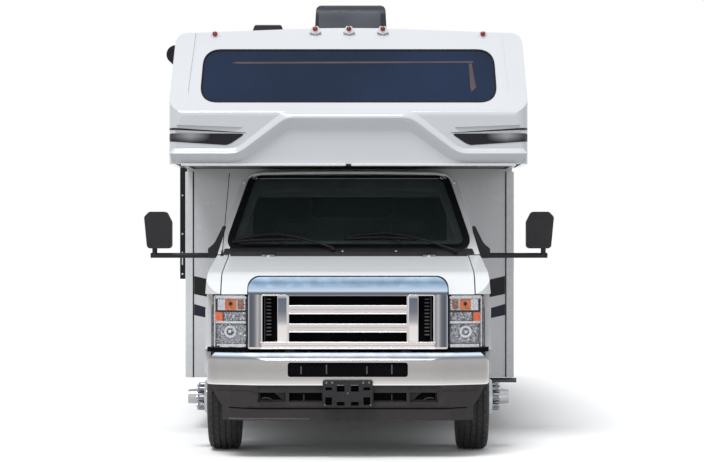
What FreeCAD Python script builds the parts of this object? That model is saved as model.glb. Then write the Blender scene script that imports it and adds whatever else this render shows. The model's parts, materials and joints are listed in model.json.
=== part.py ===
"""A cab-over motorhome on a cutaway van chassis, drawn piece by piece at full size in millimetres.

Frame: +Z is up, the nose points along -Y, and +X is the driver's side. The origin lies on the
ground, under the middle of the overall box. Every size is a cell of the sheet named Dims.
"""
import FreeCAD, Part
import math
import os
import Sketcher

V = FreeCAD.Vector
doc = FreeCAD.newDocument("motorhome")
sheet = doc.addObject("Spreadsheet::Sheet", "Dims")


class Size:
    """A length that carries its sheet formula beside its value, so that it can be bound and measured."""

    def __init__(self, text, value):
        self.text = text
        self.value = float(value)

    def __add__(self, other):
        other = as_size(other)
        return Size(f"({self.text} + {other.text})", self.value + other.value)

    def __radd__(self, other):
        return as_size(other) + self

    def __sub__(self, other):
        other = as_size(other)
        return Size(f"({self.text} - {other.text})", self.value - other.value)

    def __neg__(self):
        return Size(f"(-{self.text})", -self.value)

    def __mul__(self, share):
        if isinstance(share, Size):
            return Size(f"({self.text} * {share.text})", self.value * share.value)
        return Size(f"({self.text} * {share})", self.value * share)

    __rmul__ = __mul__

    def __truediv__(self, share):
        return Size(f"({self.text} / {share})", self.value / share)


def as_size(number):
    """Zero is the only plain number that stands for a length."""
    return number if isinstance(number, Size) else Size(str(number), number)


class Dims:
    """Names of the sheet's cells, each a Size."""


D = Dims()
ROW = [1]


def cells(heading, values):
    """Writes one group of named values to the sheet and makes each an attribute of D."""
    sheet.set(f"A{ROW[0]}", heading)
    ROW[0] += 1
    for name, value in values.items():
        sheet.set(f"A{ROW[0]}", name)
        sheet.set(f"B{ROW[0]}", str(value))
        sheet.setAlias(f"B{ROW[0]}", name)
        setattr(D, name, Size(f"Dims.{name}", value))
        ROW[0] += 1


def bind(thing, path, size):
    """Binds one property to a sheet formula."""
    size = as_size(size)
    if isinstance(size, Size) and "Dims." in size.text:
        thing.setExpression(path, size.text)
    else:
        target = thing
        steps = path.split(".")
        if len(steps) == 1:
            setattr(target, path, size.value)


def place(thing, at):
    """Binds an object's place, given as three sizes."""
    spot = V(*[as_size(a).value for a in at])
    thing.Placement = FreeCAD.Placement(spot, thing.Placement.Rotation)
    for axis, size in zip("xyz", at):
        bind(thing, f"Placement.Base.{axis}", size)


def box(name, x, y, z):
    """A block between two sizes on each axis."""
    thing = doc.addObject("Part::Box", name)
    for side, (low, high) in zip(("Length", "Width", "Height"), (x, y, z)):
        size = as_size(high) - low
        setattr(thing, side, size.value)
        bind(thing, side, size)
    place(thing, (x[0], y[0], z[0]))
    return thing


TURNS = {
    "X": FreeCAD.Rotation(V(0, 1, 0), 90),
    "Y": FreeCAD.Rotation(V(1, 0, 0), -90),
    "Z": FreeCAD.Rotation(),
}


def rod(name, axis, centre, radius, low, high):
    """A round bar along one axis. The centre is given on the two other axes, in X, Y, Z order."""
    thing = doc.addObject("Part::Cylinder", name)
    thing.Placement = FreeCAD.Placement(V(), TURNS[axis])
    thing.Radius = as_size(radius).value
    bind(thing, "Radius", radius)
    length = as_size(high) - low
    thing.Height = length.value
    bind(thing, "Height", length)
    at = list(centre)
    at.insert("XYZ".index(axis), low)
    place(thing, at)
    return thing


PLANES = {
    "front": (FreeCAD.Rotation(V(1, 0, 0), 90), V(0, 1, 0), "y"),
    "side": (FreeCAD.Rotation(V(1, 1, 1), 120), V(1, 0, 0), "x"),
    "top": (FreeCAD.Rotation(), V(0, 0, 1), "z"),
}


def tangent_points(corners):
    """For each corner, its two tangent points and arc centre, or None where the corner is sharp."""
    found = []
    count = len(corners)
    for i, (x, y, radius) in enumerate(corners):
        here = V(x.value, y.value, 0)
        if radius is None:
            found.append((here, here, None))
            continue
        before = V(corners[i - 1][0].value, corners[i - 1][1].value, 0)
        after = V(corners[(i + 1) % count][0].value, corners[(i + 1) % count][1].value, 0)
        back = (before - here).normalize()
        onward = (after - here).normalize()
        half = math.acos(max(-1.0, min(1.0, back.dot(onward)))) / 2
        reach = radius.value / math.tan(half)
        centre = here + (back + onward).normalize() * (radius.value / math.sin(half))
        found.append((here + back * reach, here + onward * reach, centre))
    return found


def draw_outline(sketch, corners, first=0):
    """A closed outline of straight runs and tangent arcs. Each corner is (x, y) or (x, y, radius)."""
    corners = [tuple(as_size(c) for c in corner) for corner in corners]
    corners = [corner if len(corner) == 3 else (*corner, None) for corner in corners]
    count = len(corners)
    spots = tangent_points(corners)
    geometry = []
    for i in range(count):
        geometry.append(Part.LineSegment(spots[i][1], spots[(i + 1) % count][0]))
    sketch.addGeometry(geometry, False)
    join = Sketcher.Constraint
    for i, (x, y, radius) in enumerate(corners):
        line_in = first + (i - 1) % count
        line_out = first + i
        if radius is None:
            sketch.addConstraint(join("Coincident", line_in, 2, line_out, 1))
            pin(sketch, line_out, 1, x, y)
    arcs = {}
    for i, (x, y, radius) in enumerate(corners):
        if radius is None:
            continue
        start, end, centre = spots[i]
        middle = centre + ((start + end) * 0.5 - centre).normalize() * radius.value
        turns_left = (start - centre).cross(end - centre).z > 0
        ends = (start, middle, end) if turns_left else (end, middle, start)
        arcs[i] = sketch.addGeometry(Part.Arc(*ends), False)
    for i, (x, y, radius) in enumerate(corners):
        if radius is None:
            continue
        line_in = first + (i - 1) % count
        line_out = first + i
        vertex = sketch.addGeometry(Part.Point(V(x.value, y.value, 0)), True)
        pin(sketch, vertex, 1, x, y)
        sketch.addConstraint(join("PointOnObject", vertex, 1, line_in))
        sketch.addConstraint(join("PointOnObject", vertex, 1, line_out))
        arc = sketch.Geometry[arcs[i]]
        near = 1 if (arc.StartPoint - spots[i][0]).Length < 1e-6 else 2
        sketch.addConstraint(join("Tangent", line_in, 2, arcs[i], near))
        sketch.addConstraint(join("Tangent", line_out, 1, arcs[i], 3 - near))
        mark = sketch.addConstraint(join("Radius", arcs[i], radius.value))
        sketch.setExpression(f"Constraints[{mark}]", radius.text)


def pin(sketch, geometry, end, x, y):
    """Fixes one point of a sketch by two bound distances from its origin."""
    for word, size, axis in (("DistanceX", x, -2), ("DistanceY", y, -1)):
        if abs(size.value) < 1e-9:
            sketch.addConstraint(Sketcher.Constraint("PointOnObject", geometry, end, axis))
            continue
        mark = sketch.addConstraint(Sketcher.Constraint(word, -1, 1, geometry, end, size.value))
        sketch.setExpression(f"Constraints[{mark}]", size.text)


def prism(name, plane, corners, low, high):
    """An outline in the front, side or top view, drawn out between two sizes along the third axis."""
    turn, along, letter = PLANES[plane]
    sketch = doc.addObject("Sketcher::SketchObject", f"{name}_outline")
    sketch.Placement = FreeCAD.Placement(V(), turn)
    draw_outline(sketch, corners)
    sketch.setExpression(f"Placement.Base.{letter}", as_size(low).text)
    thing = doc.addObject("Part::Extrusion", name)
    thing.Base = sketch
    thing.DirMode = "Custom"
    thing.Dir = along
    length = as_size(high) - low
    thing.LengthFwd = length.value
    bind(thing, "LengthFwd", length)
    thing.Solid = True
    return thing


def cut(name, base, *tools):
    """The base less every tool."""
    thing = doc.addObject("Part::Cut", name)
    thing.Base = base
    thing.Tool = tools[0] if len(tools) == 1 else fuse(f"{name}_tools", *tools)
    return thing


def fuse(name, *pieces):
    """Pieces joined into one shape."""
    thing = doc.addObject("Part::MultiFuse", name)
    thing.Shapes = list(pieces)
    return thing


def common(name, *pieces):
    """What all the pieces share."""
    thing = doc.addObject("Part::MultiCommon", name)
    thing.Shapes = list(pieces)
    return thing


def group(name, *pieces):
    """Like pieces on one body that don't touch, kept as separate solids under one name."""
    thing = doc.addObject("Part::Compound", name)
    thing.Links = list(pieces)
    return thing


def mirrored(name, piece):
    """The same piece on the other side of the vehicle."""
    thing = doc.addObject("Part::Mirroring", name)
    thing.Source = piece
    thing.Base = V(0, 0, 0)
    thing.Normal = V(1, 0, 0)
    return thing


def mirrored_all(name, pieces):
    """Each of several pieces on the other side of the vehicle."""
    return [mirrored(f"{name}_{i}", piece) for i, piece in enumerate(pieces)]


def moved(name, piece, at):
    """A copy of a piece shifted by three sizes."""
    thing = doc.addObject("Part::Compound", name)
    thing.Links = [piece]
    place(thing, at)
    return thing


NODES = {}


def node(label, piece):
    """Marks a finished sub-part: its Label names its file."""
    piece.Label = label
    NODES[label] = piece
    return piece


def origin_plane(body, role):
    """One of a body's own origin planes, found by its role."""
    return [f for f in body.Origin.OriginFeatures if f.Role == role][0]


def body_sketch(body, name, role, corners):
    """An outline sketch attached to one of the body's own origin planes."""
    sketch = body.newObject("Sketcher::SketchObject", name)
    sketch.AttachmentSupport = [(origin_plane(body, role), "")]
    sketch.MapMode = "FlatFace"
    if corners:
        draw_outline(sketch, corners)
    return sketch


def turned_body(name, corners, role="YZ_Plane"):
    """A PartDesign body made by revolving a half section about the sketch's horizontal axis."""
    body = doc.addObject("PartDesign::Body", name)
    sketch = body_sketch(body, f"{name}_section", role, corners)
    turn = body.newObject("PartDesign::Revolution", f"{name}_turn")
    turn.Profile = sketch
    turn.ReferenceAxis = (sketch, ["H_Axis"])
    turn.Angle = 360
    return body


OVERALL = {
    "tail_y": 3750, "cut_over": 20, "seam_gap": 8, "seat_gap": 0.3,
}
cells("Overall", OVERALL)
WHEELS = {
    "front_axle_y": -2960, "wheelbase": 4013, "wheel_centre_z": 372, "tyre_radius": 372,
    "tyre_width": 224, "tyre_shoulder": 34, "front_track_half": 881, "rear_track_half": 988,
    "dual_spacing": 284, "kingpin_x": 790, "kingpin_radius": 22, "kingpin_half": 95, "rim_wall": 9,
    "rim_flange": 212, "rim_drop": 186, "rim_half": 88, "disc_offset": 136, "disc_thick": 11,
    "hub_radius": 58, "hub_reach": 120, "lug_circle": 82.5, "lug_radius": 15, "lug_reach": 58,
    "hand_hole": 19, "hand_hole_circle": 146, "brake_radius": 165, "brake_thick": 38, "bore_radius": 40,
    "run_gap": 0.05, "arch_radius": 455,
}
cells("Wheels", WHEELS)
LADDER_FRAME = {
    "rail_x": 400, "rail_wide": 70, "rail_high": 170, "rail_z": 560, "rail_back": 40,
    "rail_rear_y": 3580, "member_wide": 60, "rail_web": 8, "beam_high": 80, "beam_deep": 70,
    "beam_z": 330, "spring_wide": 75, "spring_thick": 56, "spring_half": 650, "housing_radius": 62,
    "diff_radius": 165, "coil_radius": 62, "yoke_thick": 33, "boss_radius": 36, "boss_half": 56,
    "brake_in": 48, "rear_spindle": 160,
}
cells("Ladder frame", LADDER_FRAME)
HOUSE = {
    "wall_x": 1281, "wall_thick": 50, "house_front_y": -1560, "house_rear_y": 3640, "skirt_z": 413,
    "roof_edge_z": 3040, "roof_crown": 55, "roof_thick": 90, "roof_corner": 60, "floor_z": 800,
    "floor_thick": 80, "bunk_z": 2058, "bunk_thick": 50, "side_front_y": -2200, "wheel_box_radius": 480,
    "trim_drop": 40,
}
cells("House", HOUSE)
FRONT_CAP = {
    "cap_x": 1289, "cap_nose_y": -3040, "cap_base_z": 2040, "cap_crease_z": 2408, "cap_foot_back": 38,
    "cap_top_y": -2330, "cap_thick": 40, "cap_corner": 120, "cap_top_corner": 85, "cap_brow_round": 170,
    "crown_round": 9000, "cap_crease_round": 60, "cap_base_round": 30, "panel_half_top": 453,
    "panel_half_low": 796, "panel_round": 70, "panel_high_z": 2370, "panel_low_z": 2135,
    "panel_deep": 26, "groove_half_top": 1142, "groove_half_low": 1164, "groove_round": 110,
    "groove_low_z": 2470, "groove_deep": 14, "cap_window_half": 1068, "cap_window_low": 2488,
    "cap_window_high": 2905, "cap_window_round": 125, "cap_window_thick": 12, "vent_in_x": 760,
    "vent_low_z": 2180, "vent_high_z": 2300, "vent_deep": 10,
}
cells("Front cap", FRONT_CAP)
CAB_BODY = {
    "cab_x": 1000, "cab_base_z": 430, "cab_belt_z": 1360, "cab_belt_x": 965, "cab_eave_x": 815,
    "cab_eave_z": 1945, "cab_roof_z": 2022, "cab_nose_y": -3560, "cab_nose_z": 1120,
    "cab_nose_top_z": 1262, "cab_nose_back": 115, "cab_nose_round": 200, "cab_cowl_y": -2735,
    "cab_cowl_z": 1378, "screen_top_y": -2190, "screen_top_z": 1985, "cab_thick": 42, "cab_corner": 110,
    "nose_corner": 150, "hood_x": 872, "hood_rear_y": -2745, "door_front_y": -2440,
    "door_rear_y": -1640, "door_base_z": 520, "door_round": 60, "door_top_z": 1925,
    "door_notch_z": 1560, "door_top_front_y": -2108, "screen_half_low": 905, "screen_half_high": 742,
    "screen_low_z": 1418, "screen_high_z": 1958, "screen_round": 70, "screen_set": 8, "screen_thick": 8,
    "hood_lip_z": 1245, "hood_side_lip_z": 1118, "fender_top_z": 1382, "cab_roof_back": 220,
    "cab_waist_z": 1000,
}
cells("Cab body", CAB_BODY)
DOORS = {
    "glass_thick": 5, "door_glass_low_z": 1400, "door_glass_high_z": 1890, "door_glass_front_y": -2330,
    "door_glass_rear_y": -1705, "door_glass_mid_z": 1600, "door_glass_top_y": -2070, "glass_inset": 10,
    "hinge_out": 4, "door_rear_lean": 18,
}
cells("Doors", DOORS)
MIRRORS = {
    "mirror_in_x": 1333, "mirror_out_x": 1538, "mirror_taper": 38, "mirror_low_z": 1432,
    "mirror_high_z": 1708, "mirror_deep": 105, "mirror_y": -2330, "mirror_arm_z": 1380,
    "mirror_arm_radius": 19, "mirror_round": 28, "sail_out_x": 1058, "sail_high_z": 1600,
    "sail_waist_z": 1470,
    "sail_low_z": 1360, "sail_thick": 60,
}
cells("Mirrors", MIRRORS)
NOSE_TRIM = {
    "grille_half": 684, "grille_low_z": 745, "grille_high_z": 1238, "grille_frame_top": 129,
    "grille_frame_side": 97, "grille_frame_low": 49, "grille_proud": 50, "grille_deep": 110,
    "grille_round": 80, "slot_half": 404, "slat_post": 79, "slat_high": 61, "slat_deep": 46,
    "lamp_in_x": 694, "lamp_low_z": 748, "lamp_high_z": 1112, "lamp_out_x": 955,
    "lamp_deep": 250, "lamp_round": 24,
}
cells("Nose trim", NOSE_TRIM)
BUMPER = {
    "bumper_x": 973, "bumper_low_z": 503, "bumper_high_z": 722, "bumper_deep": 230, "bumper_back": 120,
    "bumper_wrap": 330, "bumper_slot_half": 409, "bumper_slot_low": 560, "bumper_slot_high": 658,
    "bumper_slot_round": 18, "bumper_thick": 14, "valance_low_z": 261, "valance_step_z": 357,
    "valance_x": 905, "valance_low_x": 860, "valance_back": 20, "hook_in_x": 415, "hook_out_x": 610,
    "hook_low_z": 388, "hook_high_z": 452, "plate_half": 170, "plate_low_z": 358, "plate_high_z": 540,
    "plate_thick": 18, "plate_hole_x": 88.9, "plate_hole_z": 60.325, "plate_hole_radius": 3.5,
    "plate_round": 14, "plate_proud": 22, "bumper_proud": 150,
    "bumper_roll": 46, "bumper_bevel": 62, "grille_foot_round": 12, "closing_low_z": 505,
}
cells("Bumper", BUMPER)
CABIN_SIDE = {
    "entry_front_y": -460, "entry_rear_y": 200, "entry_base_z": 560, "entry_top_z": 2420,
    "entry_round": 70, "entry_glass_low": 1500, "entry_glass_high": 2100, "entry_glass_in": 150,
    "glass_round": 60, "locker_front_y": 2150, "locker_rear_y": 3150, "locker_low_z": 470,
    "locker_high_z": 700, "locker_round": 20, "locker_thick": 28, "step_deep": 260, "step_low_z": 330,
    "step_thick": 40, "window_thick": 16,
}
cells("Cabin side", CABIN_SIDE)
ROOF_GEAR = {
    "cooler_half": 330, "cooler_front_y": 230, "cooler_long": 1000, "cooler_high": 485,
    "cooler_taper": 26, "cooler_round": 60, "vent_half": 205, "vent_high": 90, "vent_one_y": -1150,
    "vent_two_y": 2600, "aerial_x": -680, "aerial_y": -710, "aerial_high": 190, "aerial_radius": 40,
    "aerial_half": 150, "aerial_wing": 34, "roller_x": -1375, "roller_z": 2965, "roller_radius": 72,
    "roller_front_y": -1530, "roller_rear_y": 3040, "arm_thick": 59, "arm_wide": 55, "arm_low_z": 1190,
    "marker_half": 16, "marker_high": 26, "marker_mid_x": 252, "marker_out_x": 1000,
}
cells("Roof gear", ROOF_GEAR)
TAIL = {
    "bumper_rear_high": 150, "bumper_rear_deep": 106, "bumper_rear_z": 430, "hitch_half": 31.75,
    "hitch_bore_half": 25.9, "hitch_z": 420, "hitch_long": 240, "hitch_pin_radius": 8.1,
    "hitch_pin_in": 64, "tail_lamp_half_x": 60, "tail_lamp_x": 1165, "tail_lamp_low_z": 880,
    "tail_lamp_high_z": 1240, "tail_lamp_thick": 26, "rear_glass_half": 420, "rear_glass_low": 1750,
    "rear_glass_high": 2250,
}
cells("Tail", TAIL)
UNDER_THE_BODY = {
    "engine_half": 310, "fan_room": 160, "engine_rear_y": -2620, "engine_low_z": 430,
    "engine_high_z": 1060, "gearbox_half": 190, "gearbox_rear_y": -1500, "gearbox_low_z": 400,
    "gearbox_high_z": 720, "shaft_radius": 45, "tank_x": -50, "tank_half": 300, "tank_front_y": 2000,
    "tank_rear_y": 2900, "tank_low_z": 430, "tank_high_z": 700, "pipe_radius": 32, "pipe_x": 300,
    "pipe_z": 480, "side_pipe_radius": 18, "side_pipe_y": -1460, "side_pipe_z": 386,
    "side_pipe_out": 1322, "radiator_half": 335, "radiator_low_z": 740, "radiator_high_z": 1130,
    "radiator_back": 90, "radiator_thick": 80,
}
cells("Under the body", UNDER_THE_BODY)
CAB_INSIDE = {
    "seat_x": 455, "seat_half": 260, "seat_front_y": -2230, "seat_rear_y": -1720, "seat_low_z": 900,
    "seat_pad_z": 1040, "seat_back_z": 1660, "seat_back_thick": 150, "seat_lean": 110,
    "dash_low_z": 950, "dash_high_z": 1300, "dash_y": -2560, "dash_rear_y": -2330,
    "wheel_ring_radius": 190, "wheel_ring_tube": 15, "steer_x": 470, "steer_y": -2180, "steer_z": 1290,
    "steer_tilt": 45, "cab_floor_z": 780, "cab_floor_thick": 40,
}
cells("Cab inside", CAB_INSIDE)

# The nose pieces keep their distance from the cab's nose
D.nose_y = D.cab_nose_y - D.bumper_proud
D.grille_y = D.cab_nose_y - D.grille_proud
D.lamp_y = D.cab_nose_y
D.valance_y = D.nose_y + D.valance_back
D.plate_y = D.nose_y - D.plate_proud
D.rail_front_y = D.cab_nose_y + D.rail_back
D.radiator_front_y = D.cab_nose_y + D.radiator_back
D.engine_front_y = D.radiator_front_y + D.radiator_thick + D.fan_room


def cab_form(name, inset):
    """The cab's whole outer form, drawn in by an inset: side profile, front outline and plan together."""
    nose = D.cab_nose_y + inset
    base = D.cab_base_z - inset
    roof = D.cab_roof_z - inset
    rear = D.house_front_y - D.seat_gap
    side = D.cab_x - inset
    profile = prism(f"{name}_profile", "side", [
        (nose, base), (nose, D.cab_nose_z),
        (D.cab_nose_y + D.cab_nose_back + inset, D.cab_nose_top_z - inset, D.cab_nose_round),
        (D.cab_cowl_y + inset, D.cab_cowl_z - inset),
        (D.screen_top_y + inset, D.screen_top_z - inset, D.cab_corner),
        (D.screen_top_y + D.cab_roof_back, roof), (rear, roof), (rear, base),
    ], -D.cab_x, D.cab_x)
    outline = prism(f"{name}_front", "front", [
        (-side, base), (side, base), (side, D.cab_waist_z), (D.cab_belt_x - inset, D.cab_belt_z),
        (D.cab_eave_x - inset, D.cab_eave_z, D.cab_corner),
        (D.cab_eave_x - D.cab_corner - inset, roof), (-D.cab_eave_x + D.cab_corner + inset, roof),
        (-D.cab_eave_x + inset, D.cab_eave_z, D.cab_corner),
        (-D.cab_belt_x + inset, D.cab_belt_z), (-side, D.cab_waist_z),
    ], D.cab_nose_y, rear)
    plan = prism(f"{name}_plan", "top", [
        (-side, rear), (-side, nose, D.nose_corner), (side, nose, D.nose_corner), (side, rear),
    ], base, roof)
    return common(name, profile, outline, plan)


HINGES = {
    "hinge_radius": 7, "hinge_pin": 3.5, "hinge_gap": 5, "hinge_deep": 10, "hinge_reach": 18,
    "hinge_long": 90, "door_hinge_low_z": 600, "door_hinge_high_z": 900, "hood_hinge_x": 540,
    "entry_hinge_low_z": 700, "entry_hinge_mid_z": 1420, "entry_hinge_high_z": 2180,
    "locker_hinge_in": 110, "lid_proud": 2,
}
cells("Hinges", HINGES)


def hinges(name, axis, at, starts, inward, away):
    """Knuckles, pins and arms along one hinge line.

    Inward points from the line into the panels, and away points from the fixed panel to the
    moving one. Each is a place in the pair of cross axes with a sign. It gives the fixed pieces,
    the moving pieces, and the room that each needs in the other's panel.
    """
    letters = [letter for letter in "XYZ" if letter != axis]

    def arm(label, way, low, high):
        ranges = {axis: (low, high)}
        for place_in_pair, sign, reach in ((*inward, D.hinge_deep),
                                           (away[0], away[1] * way, D.hinge_reach)):
            near = as_size(at[place_in_pair])
            far = near + reach * sign
            ranges[letters[place_in_pair]] = (near, far) if sign > 0 else (far, near)
        return box(label, ranges["X"], ranges["Y"], ranges["Z"])

    fixed, moving, fixed_room, moving_room = [], [], [], []
    leaf = D.hinge_long * (1 / 3)
    for i, start in enumerate(starts):
        low = as_size(start)
        high = low + D.hinge_long
        fixed.append(rod(f"{name}_pin_{i}", axis, at, D.hinge_pin, low, high))
        for end, first in (("a", low), ("b", high - leaf)):
            fixed.append(rod(f"{name}_eye_{i}{end}", axis, at, D.hinge_radius, first, first + leaf))
            fixed.append(arm(f"{name}_leaf_{i}{end}", -1, first, first + leaf))
            fixed_room.append(rod(f"{name}_room_{i}{end}", axis, at, D.hinge_radius + D.hinge_gap,
                                  first - D.hinge_gap, first + leaf + D.hinge_gap))
        middle = (low + leaf + D.hinge_gap, high - leaf - D.hinge_gap)
        eye = rod(f"{name}_swing_eye_{i}", axis, at, D.hinge_radius, *middle)
        bore = rod(f"{name}_bore_{i}", axis, at, D.hinge_pin + D.seat_gap, *middle)
        moving.append(cut(f"{name}_swing_{i}", fuse(f"{name}_swing_all_{i}", eye,
                          arm(f"{name}_swing_leaf_{i}", 1, *middle)), bore))
        moving_room.append(rod(f"{name}_swing_room_{i}", axis, at, D.hinge_radius + D.hinge_gap,
                               low + leaf, high - leaf))
        fixed_room.append(rod(f"{name}_pin_room_{i}", axis, at, D.hinge_pin + D.seat_gap, low, high))
    return fixed, moving, fixed_room, moving_room


def with_hinges(name, panel, pieces, room):
    """A panel cut away round the other side's knuckles and joined to its own."""
    return fuse(name, cut(f"{name}_cleared", panel, *room), *pieces)


def door_outline(grow, lean=0):
    """The side door's outline, grown for its opening, its rear edge leant in so that it swings clear."""
    return [
        (D.door_front_y - grow, D.door_base_z - grow, D.door_round),
        (D.door_rear_y + grow, D.door_base_z - grow, D.door_round),
        (D.door_rear_y + grow, D.cab_waist_z),
        (D.door_rear_y + grow - lean, D.door_top_z + grow, D.door_round),
        (D.door_top_front_y - grow, D.door_top_z + grow, D.door_round),
        (D.door_front_y - grow, D.door_notch_z, D.door_round),
    ]


def door_glass_outline(grow):
    """The side door's window."""
    return [
        (D.door_glass_front_y - grow, D.door_glass_low_z - grow, D.mirror_round),
        (D.door_glass_rear_y + grow, D.door_glass_low_z - grow, D.mirror_round),
        (D.door_glass_rear_y + grow, D.door_glass_high_z + grow, D.mirror_round),
        (D.door_glass_top_y - grow, D.door_glass_high_z + grow, D.mirror_round),
        (D.door_glass_front_y - grow, D.door_glass_mid_z, D.mirror_round),
    ]


def screen_outline(grow):
    """The windscreen's outline in the front view."""
    return [
        (-D.screen_half_low - grow, D.screen_low_z - grow, D.screen_round),
        (D.screen_half_low + grow, D.screen_low_z - grow, D.screen_round),
        (D.screen_half_high + grow, D.screen_high_z + grow, D.screen_round),
        (-D.screen_half_high - grow, D.screen_high_z + grow, D.screen_round),
    ]


def build_cab():
    """The cab's body panels: shell, fenders, hood and doors, all cut from one hollow form."""
    outer = cab_form("cab_outer", 0)
    inner = cab_form("cab_inner", D.cab_thick)
    hollow = cut("cab_hollow_form", outer, inner)
    gap = D.seam_gap
    over = D.cut_over
    rear = D.house_front_y + over
    low = D.cab_base_z - over
    high = D.cab_roof_z + over
    wide = D.cab_x + over
    nose = D.cab_nose_y - over
    split = D.hood_rear_y + gap
    front_cut = box("shell_front_cut", (-wide, wide), (nose, split), (low, high))
    side_cut = box("shell_side_cut", (D.hood_x, wide), (nose, D.door_front_y - gap),
                   (low, D.fender_top_z + gap))
    door_tool = prism("door_opening", "side", door_outline(gap), D.screen_half_low * 0.5, wide)
    screen_tool = prism("screen_opening", "front", screen_outline(0), split,
                        D.screen_top_y + D.cab_roof_back)
    shell = cut("cab_shell_cut", hollow, front_cut, side_cut, mirrored("shell_side_right", side_cut),
                door_tool, mirrored("door_opening_right", door_tool), screen_tool)
    fender_zone = box("fender_zone", (D.hood_x + gap, wide), (nose, D.door_front_y - gap),
                      (low, D.fender_top_z))
    arch = rod("front_arch", "X", (D.front_axle_y, D.wheel_centre_z), D.arch_radius,
               D.rail_x, wide)
    lamp_tool = box("lamp_opening", (D.lamp_in_x, wide), (nose, D.lamp_y + D.lamp_deep),
                    (D.lamp_low_z - gap, D.lamp_high_z + gap))
    foot = box("fender_foot", (D.hood_x, wide), (nose, D.nose_y + D.bumper_wrap + gap),
               (low, D.bumper_high_z + gap * 2))
    fender = cut("fender_cut", common("fender_raw", hollow, fender_zone), arch, lamp_tool, foot)
    fixed, moving, fixed_room, moving_room = hinges(
        "door_hinge", "Z", (D.cab_x + D.hinge_out, D.door_front_y),
        (D.door_hinge_low_z, D.door_hinge_high_z), (0, -1), (1, 1))
    fender = with_hinges("fender_hinged", fender, fixed, moving_room)
    node("front_fenders", group("fenders", fender, mirrored("fender_right", fender)))

    hood_zone = prism("hood_zone", "front", [
        (-D.hood_x, D.hood_side_lip_z), (-D.lamp_in_x, D.hood_side_lip_z),
        (-D.lamp_in_x, D.hood_lip_z, D.grille_round), (D.lamp_in_x, D.hood_lip_z, D.grille_round),
        (D.lamp_in_x, D.hood_side_lip_z), (D.hood_x, D.hood_side_lip_z),
        (D.hood_x, D.cab_roof_z), (-D.hood_x, D.cab_roof_z),
    ], nose, D.hood_rear_y)
    bonnet_fixed, bonnet_moving, bonnet_fixed_room, bonnet_room = hinges(
        "hood_hinge", "X", (D.hood_rear_y, D.cab_cowl_z),
        (D.hood_hinge_x, -D.hood_hinge_x - D.hinge_long), (1, -1), (0, -1))
    node("hood", with_hinges("hood_hinged", common("hood_panel", hollow, hood_zone),
                             bonnet_moving, bonnet_fixed_room))
    node("cab_shell", with_hinges("cab_shell_hinged", shell, bonnet_fixed, bonnet_room))

    door_zone = prism("door_zone", "side", door_outline(0, D.door_rear_lean), D.screen_half_low * 0.5, wide)
    glass_hole = prism("door_glass_hole", "side", door_glass_outline(0),
                       D.screen_half_low * 0.5, wide)
    door = cut("door_left_cut", common("door_raw", hollow, door_zone), glass_hole)
    door = with_hinges("door_hinged", door, moving, fixed_room)
    node("left_door", door)
    node("right_door", mirrored("door_right_mirror", door))
    glass_out = cab_form("door_glass_face", D.glass_inset)
    glass_in = cab_form("door_glass_back", D.glass_inset + D.glass_thick)
    sheet_of_glass = cut("door_glass_sheet", common("door_glass_slab", glass_out, glass_hole), glass_in)
    node("left_door_glass", sheet_of_glass)
    node("right_door_glass", mirrored("door_glass_mirror", sheet_of_glass))

    strip = prism("screen_strip", "side", [
        (D.cab_cowl_y + D.screen_set, D.cab_cowl_z),
        (D.cab_cowl_y + D.screen_set + D.screen_thick * 2, D.cab_cowl_z),
        (D.screen_top_y + D.screen_set + D.screen_thick * 2, D.screen_top_z),
        (D.screen_top_y + D.screen_set, D.screen_top_z),
    ], -wide, wide)
    pane = prism("screen_pane", "front", screen_outline(0), split, D.screen_top_y + D.cab_roof_back)
    node("windshield", common("screen_glass", strip, pane))


def build_cab_inside():
    """Floor and bulkhead, dashboard, seats and the steering wheel on its column."""
    inside = D.cab_x - D.cab_thick - D.seam_gap
    floor = box("cab_floor_slab", (-inside, inside), (D.dash_y, D.house_front_y - D.seat_gap),
                (D.cab_floor_z, D.cab_floor_z + D.cab_floor_thick))
    wall = box("bulkhead", (-inside + D.cab_corner, inside - D.cab_corner),
               (D.dash_y - D.cab_floor_thick, D.dash_y), (D.cab_floor_z, D.dash_high_z))
    node("cab_floor", fuse("cab_floor_all", floor, wall))
    dash_half = D.cab_belt_x - D.cab_thick - D.cab_corner
    dash = prism("dash_profile", "side", [
        (D.dash_y, D.dash_low_z), (D.dash_rear_y, D.dash_low_z, D.mirror_round),
        (D.dash_rear_y, D.dash_high_z - D.cab_corner * 0.5, D.mirror_round),
        (D.dash_rear_y - D.cab_corner, D.dash_high_z, D.mirror_round), (D.dash_y, D.dash_high_z),
    ], -dash_half, dash_half)
    column = doc.addObject("Part::Cylinder", "steering_column")
    build_steering_wheel(column, dash)
    seat = prism("seat_profile", "side", [
        (D.seat_front_y, D.seat_low_z, D.mirror_round), (D.seat_rear_y, D.seat_low_z, D.mirror_round),
        (D.seat_rear_y + D.seat_lean, D.seat_back_z, D.mirror_round),
        (D.seat_rear_y + D.seat_lean - D.seat_back_thick, D.seat_back_z, D.mirror_round),
        (D.seat_rear_y - D.seat_back_thick, D.seat_pad_z, D.mirror_round),
        (D.seat_front_y, D.seat_pad_z, D.mirror_round),
    ], D.seat_x - D.seat_half, D.seat_x + D.seat_half)
    base = box("seat_base", (D.seat_x - D.seat_half * 0.8, D.seat_x + D.seat_half * 0.8),
               (D.seat_front_y + D.cab_corner, D.seat_rear_y - D.cab_floor_thick),
               (D.cab_floor_z + D.cab_floor_thick, D.seat_low_z + D.seam_gap))
    chair = fuse("seat_left", seat, base)
    node("cab_seats", group("seats", chair, mirrored("seat_right", chair)))


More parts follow.
